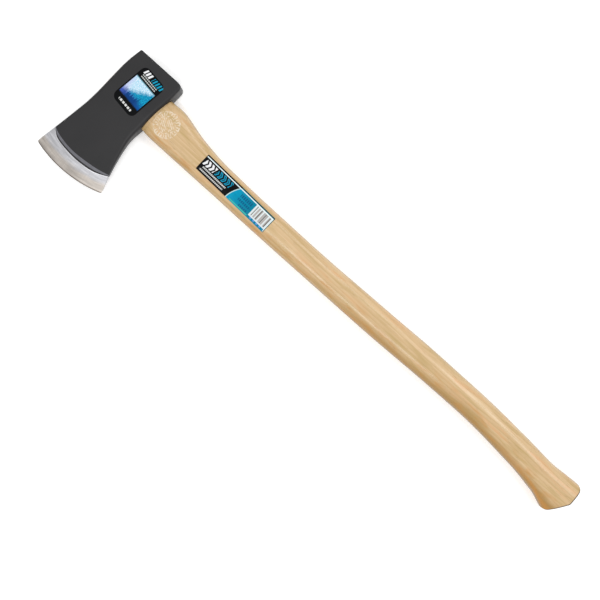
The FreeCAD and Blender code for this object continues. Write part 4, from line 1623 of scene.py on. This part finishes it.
    def sawn_x(self, y: np.ndarray) -> np.ndarray:
        """X of the sawn top, which leans with the head."""
        (x0, y0), (x1, y1) = self.top_back, self.top_front
        return x0 + (y0 - y) * (x1 - x0) / (y0 - y1)

    def rings(self, head: ForgedHead) -> list[np.ndarray]:
        """Every section from the sawn top to the knob's face.

        Args:
            head: the head whose eye the tongue fills.

        Returns:
            The sections in order.
        """
        count = len(self.turns)
        sawn = self.sawn_x(self.tongue_ring(np.full(count, -41.0), head)[:, 1])
        rings = [self.tongue_ring(mix(sawn, np.full(count, self.x[0]), s), head)
                 for s in (0.0, 0.01, 0.06, 0.2, 0.36, 0.52, 0.68, 0.84, 1.0)]
        last = self.ends() - self.rim
        stations = np.concatenate([
            [self.x[0], self.x[0] + 0.6], np.linspace(46.5, 160, 46), np.linspace(163, 700, 120)[1:],
            np.linspace(704, self.knob_from, 26)])
        rings += [self.ring(np.full(count, x)) for x in stations]
        rings += [self.ring(mix(np.full(count, self.knob_from), last, s))
                  for s in np.linspace(0, 1, 24)[1:]]
        side, edge = self.ring(last), self.ring(last + self.rim)
        centre = np.array([0.0, self.face_centre, 0.0])
        arm = edge - centre
        arm[:, 0] = 0
        reach = np.linalg.norm(arm, axis=1, keepdims=True)
        face = edge - arm / reach * self.rim
        face[:, 0] = self.knob_x(face[:, 1])
        for t in np.linspace(0, 1, 7)[1:]:
            rings.append((1 - t) ** 2 * side + 2 * t * (1 - t) * edge + t * t * face)
        return rings

    def slab(self, name: str, side: Sequence[tuple[float, float]], low: float, high: float,
             turn: float = 0.0, move: tuple[float, float] = (0.0, 0.0)) -> Body:
        """A cutter: an outline in XZ drawn out along Y, turned about X and moved.

        Args:
            name: the cutter's name.
            side: outline as (x, z).
            low: where it starts along Y.
            high: where it ends along Y.
            turn: degrees about X.
            move: where its middle goes, as (x, y).

        Returns:
            The cutter.
        """
        c, s = math.cos(math.radians(turn)), math.sin(math.radians(turn))
        points = [(x + move[0], c * y - s * z + move[1], s * y + c * z)
                  for y in (low, high) for x, z in side]
        n = len(side)
        faces = [tuple(range(n)), tuple(range(2 * n - 1, n - 1, -1))]
        faces += [(i, (i + 1) % n, n + (i + 1) % n, n + i) for i in range(n)]
        return make_object(name, self.datum.place(np.array(points)), faces, [])

    def cutters(self) -> list[Body]:
        """What the saw and the wedges take out of the tongue.

        Returns:
            One cutter for the wooden wedge, one for the kerf and one for each steel wedge.
        """
        top = (self.top_back[0] + self.top_front[0]) / 2
        grow = (self.wedge_half - self.kerf_half) / self.wedge_depth * 12
        wide, narrow = self.wedge_half + grow, self.kerf_half
        cuts = [
            self.slab("wedge_slot", [(top - 12, wide), (top + self.wedge_depth, narrow),
                                     (top + self.wedge_depth, -narrow), (top - 12, -wide)], -70, 70),
            self.slab("kerf", [(top + 40, narrow - 0.01), (top + self.kerf_depth, narrow - 0.01),
                               (top + self.kerf_depth, 0.01 - narrow), (top + 40, 0.01 - narrow)],
                      -71, 71)]
        for i, y in enumerate(self.steel_y):
            at = top + (self.top_back[0] - self.top_front[0]) / 60 * y + 1.0
            side = [(-6, self.steel_half), (0, self.steel_half), (self.steel_depth, self.steel_tip_half),
                    (self.steel_depth, -self.steel_tip_half), (0, -self.steel_half),
                    (-6, -self.steel_half)]
            half = self.steel_width / 2
            cuts.append(self.slab(f"steel_slot_{i}", side, -half, half, self.steel_turn, (at, y)))
        return cuts

    def build(self, head: ForgedHead, wood: Material) -> Body:
        """Make the handle.

        Args:
            head: the head whose eye the tongue fills.
            wood: the handle's finish.

        Returns:
            The handle.
        """
        points, faces, _ = skin_of(self.rings(head))
        handle = make_object("hickory_handle", within_cad(self.datum.place(points)), faces, [wood])
        for cutter in self.cutters():
            carve(handle, cutter)
        shade(handle, 38.0)
        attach(handle, "root")
        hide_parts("handle")
        return handle


# ---- wedges and stickers -------------------------------------------------------------------------
@dataclass
class EyeWedges:
    """The wooden wedge along the eye and the two steel ones driven across it."""

    wooden: tuple[str, ...] = ("wooden_wedge",)
    steel: tuple[str, ...] = ("steel_wedge_rear", "steel_wedge_front")

    def dress(self, nodes: dict, wood: Material, steel: Material) -> None:
        """Give the wedges their finishes.

        Args:
            nodes: the frame's nodes by name.
            wood: finish of the wooden wedge.
            steel: finish of the steel wedges.
        """
        for names, material in ((self.wooden, wood), (self.steel, steel)):
            for name in names:
                for slot in nodes[name].material_slots:
                    slot.material = material
                LOG.info("%s dressed in %s", name, material.name)


@dataclass
class Sticker:
    """A thin printed film laid on a curved surface.

    Attributes:
        name: the piece's name.
        node: the frame's node that it stands for.
        slot: the record's material slot; not used.
        datum: the eye's middle.
        middle: its middle from the eye's, in mm.
        size: its length along u and along v, in mm.
        corner: radius of its corners.
        turn: how far it is turned, in degrees.
        surface: height of what it lies on.
        thickness: of the film.
        cells: how many cells along u and v.
    """

    name: str
    node: str
    slot: Slot
    datum: Datum
    middle: tuple[float, float]
    size: tuple[float, float]
    corner: float
    turn: float
    surface: Height
    thickness: float = 0.2
    cells: tuple[int, int] = (60, 60)

    def plan(self) -> tuple[np.ndarray, np.ndarray]:
        """The film's points seen flat.

        Returns:
            X and Y of every point, as a grid of rows along v.
        """
        a, b = self.size[0] / 2, self.size[1] / 2
        bend = np.sin(np.linspace(0, math.pi / 2, 7))
        straight = np.linspace(-(b - self.corner), b - self.corner, self.cells[1])
        v = np.concatenate([-(b - self.corner) - self.corner * bend[:0:-1], straight,
                            b - self.corner + self.corner * bend[1:]])
        into = np.clip(np.abs(v) - (b - self.corner), 0, self.corner)
        width = a - self.corner + np.sqrt(np.clip(self.corner ** 2 - into ** 2, 0, None))
        u = width[:, None] * np.linspace(-1, 1, self.cells[0] + 1)[None, :]
        v = np.repeat(v[:, None], u.shape[1], axis=1)
        c, s = math.cos(math.radians(self.turn)), math.sin(math.radians(self.turn))
        return self.middle[0] + c * u - s * v, self.middle[1] + s * u + c * v

    def build(self, film: Material) -> Body:
        """Make the film.

        Args:
            film: its printed finish.

        Returns:
            The sticker.
        """
        x, y = self.plan()
        z = self.surface(x, y)
        rows, columns = x.shape
        upper = np.stack([x, y, z + self.thickness], axis=2).reshape(-1, 3)
        lower = np.stack([x, y, z + 0.01], axis=2).reshape(-1, 3)
        n = rows * columns
        faces = []
        for j in range(rows - 1):
            for i in range(columns - 1):
                a = j * columns + i
                quad = (a, a + 1, a + columns + 1, a + columns)
                faces += [quad, tuple(n + q for q in reversed(quad))]
        border = [*range(columns - 1), *(j * columns + columns - 1 for j in range(rows - 1)),
                  *(n - 1 - i for i in range(columns - 1)),
                  *((rows - 1 - j) * columns for j in range(rows - 1))]
        for here, there in zip(border, border[1:] + border[:1]):
            faces.append((here, n + here, n + there, there))
        sticker = make_object(self.name, self.datum.place(np.concatenate([upper, lower])), faces, [film])
        shade(sticker, 40.0)
        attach(sticker, "root")
        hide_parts(self.node)
        return sticker


# ---- the studio ----------------------------------------------------------------------------------
@dataclass
class Studio:
    """A pale paper floor, an even white room, two overhead softboxes and the camera.

    Attributes:
        datum: the eye's middle.
        eye: the camera's place from the eye's middle, in mm.
        roll: the camera's turn about its own axis, in degrees.
        lens: focal length on a 36 mm film, in mm.
        boxes: each softbox's place in mm, width and depth in metres, and power in watts.
        room: the even light of the room.
    """

    datum: Datum
    eye: tuple[float, float, float] = (377.3, -59.9, 1217.3)
    roll: float = 42.0
    lens: float = 50.0
    boxes: tuple[tuple[float, float, float, float, float, float], ...] = (
        (330.0, -560.0, 1500.0, 1.1, 0.24, 5.8),
        (1208.0, 766.0, 1500.0, 0.7, 0.6, 5.6),
        (0.0, 980.0, 1500.0, 1.3, 0.36, 5.4))
    room: float = 0.80

    def light(self) -> None:
        """Hang the softboxes and light the room."""
        for i, (x, y, z, wide, deep, power) in enumerate(self.boxes):
            lamp = bpy.data.lights.new(f"softbox_{i}", "AREA")
            lamp.shape, lamp.size, lamp.size_y, lamp.energy = "RECTANGLE", wide, deep, power
            holder = bpy.data.objects.new(f"softbox_{i}", lamp)
            holder.location = self.datum.at(x, y, z)
            bpy.context.scene.collection.objects.link(holder)
        world = bpy.data.worlds.new("white_room")
        world.use_nodes = True
        tree = world.node_tree
        tree.nodes.clear()
        glow = add_node(tree, "Background", {"Color": (1, 1, 1, 1), "Strength": self.room})
        add_node(tree, "OutputWorld", {"Surface": glow.outputs[0]})
        bpy.context.scene.world = world

    def floor(self, paper: Material) -> Body:
        """Lay the paper floor: a broad disc whose rim rises gently.

        Args:
            paper: its finish.

        Returns:
            The floor.
        """
        reach, lift = (0.0, 1.2, 3.0, 6.0, 9.0, 12.0), (0.0, 0.0, 0.0, 0.0, 0.05, 0.4)
        around, sink = 48, 0.0002
        points = [(0.0, 0.0, -sink)]
        for r, z in zip(reach[1:], lift[1:]):
            points += [(r * math.cos(2 * math.pi * i / around), r * math.sin(2 * math.pi * i / around),
                        z - sink) for i in range(around)]
        faces = [(0, 1 + i, 1 + (i + 1) % around) for i in range(around)]
        for ring in range(len(reach) - 2):
            a, b = 1 + ring * around, 1 + (ring + 1) * around
            faces += [(a + i, b + i, b + (i + 1) % around, a + (i + 1) % around) for i in range(around)]
        ground = make_object("paper_floor", np.array(points), faces, [paper])
        if ground.data.polygons[0].normal.z < 0:
            ground.data.flip_normals()
        for face in ground.data.polygons:
            face.use_smooth = True
        return ground

    def camera(self) -> Body:
        """Place the camera straight above, turned so that the handle falls to the lower right.

        Returns:
            The camera.
        """
        lens = bpy.data.cameras.new("camera")
        lens.lens, lens.sensor_width, lens.clip_start, lens.clip_end = self.lens, 36.0, 0.05, 60.0
        body = bpy.data.objects.new("camera", lens)
        body.location = self.datum.at(*self.eye)
        body.rotation_euler = (0.0, 0.0, math.radians(self.roll))
        bpy.context.scene.collection.objects.link(body)
        bpy.context.scene.camera = body
        return body

    def set_view(self) -> None:
        """Show colours plainly, with no film look over them."""
        bpy.context.scene.view_settings.view_transform = "Standard"
        bpy.context.scene.view_settings.look = "None"


def report(piece: Body) -> None:
    """Log what a finished piece came to."""
    LOG.info("%s: %d faces in %s", piece.name, len(piece.data.polygons),
             ", ".join(m.name for m in piece.data.materials))


def main() -> None:
    """Build and dress the axe, then set up the studio."""
    logging.basicConfig(level=logging.INFO, format="%(name)s: %(message)s")
    handle_reach, poll_reach = HickoryHandle.end_x, ForgedHead.poll
    datum = Datum.from_frame(handle_reach, poll_reach)
    studio = Studio(datum)
    studio.camera()
    head = ForgedHead(datum)
    handle = HickoryHandle(datum)

    sweep = datum.at(head.sweep_x, head.sweep_y)
    steel = GroundSteel(sweep, head.sweep * MM, head.fine_bevel * MM)
    # Painted highlight: brighter steel for the narrow line just below the paint.
    painted_highlight_line = replace(steel, name="steel_painted_highlight_line", bright="e2e2e6")
    # Painted highlight: lighter grey enamel for the painted rim of the bevel.
    painted_highlight_enamel = BakedPaint("enamel_black_painted_highlight", "4e4e54", "727279", forge_mm=7.0)
    report(head.build(BakedPaint().make(), painted_highlight_enamel.make(), steel.make(), painted_highlight_line.make()))
    report(handle.build(head, LacqueredHickory(datum, handle.end_x).make()))
    EyeWedges().dress(frame["nodes"], SawnWedgeWood().make(), RolledSteel().make())

    cheek_middle, cheek_turn = (3.4, 7.5), -8.0
    cheek = Sticker("cheek_sticker", "head_label", Slot.HEAD_STICKER, datum, cheek_middle,
                    size=(44.0, 66.0), corner=9.0, turn=cheek_turn, surface=head.surface)
    report(cheek.build(CheekPrint(datum.at(*cheek_middle), cheek_turn).make()))
    grip_middle, grip_turn = (205.0, -7.7), -2.0
    grip = Sticker("grip_sticker", "handle_label", Slot.HANDLE_STICKER, datum, grip_middle,
                   size=(134.0, 27.4), corner=0.8, turn=grip_turn, surface=handle.surface,
                   cells=(130, 30))
    report(grip.build(GripPrint(datum.at(*grip_middle), grip_turn).make()))

    report(studio.floor(StudioPaper().make()))
    studio.light()
    studio.set_view()


if __name__ == "__main__":
    main()
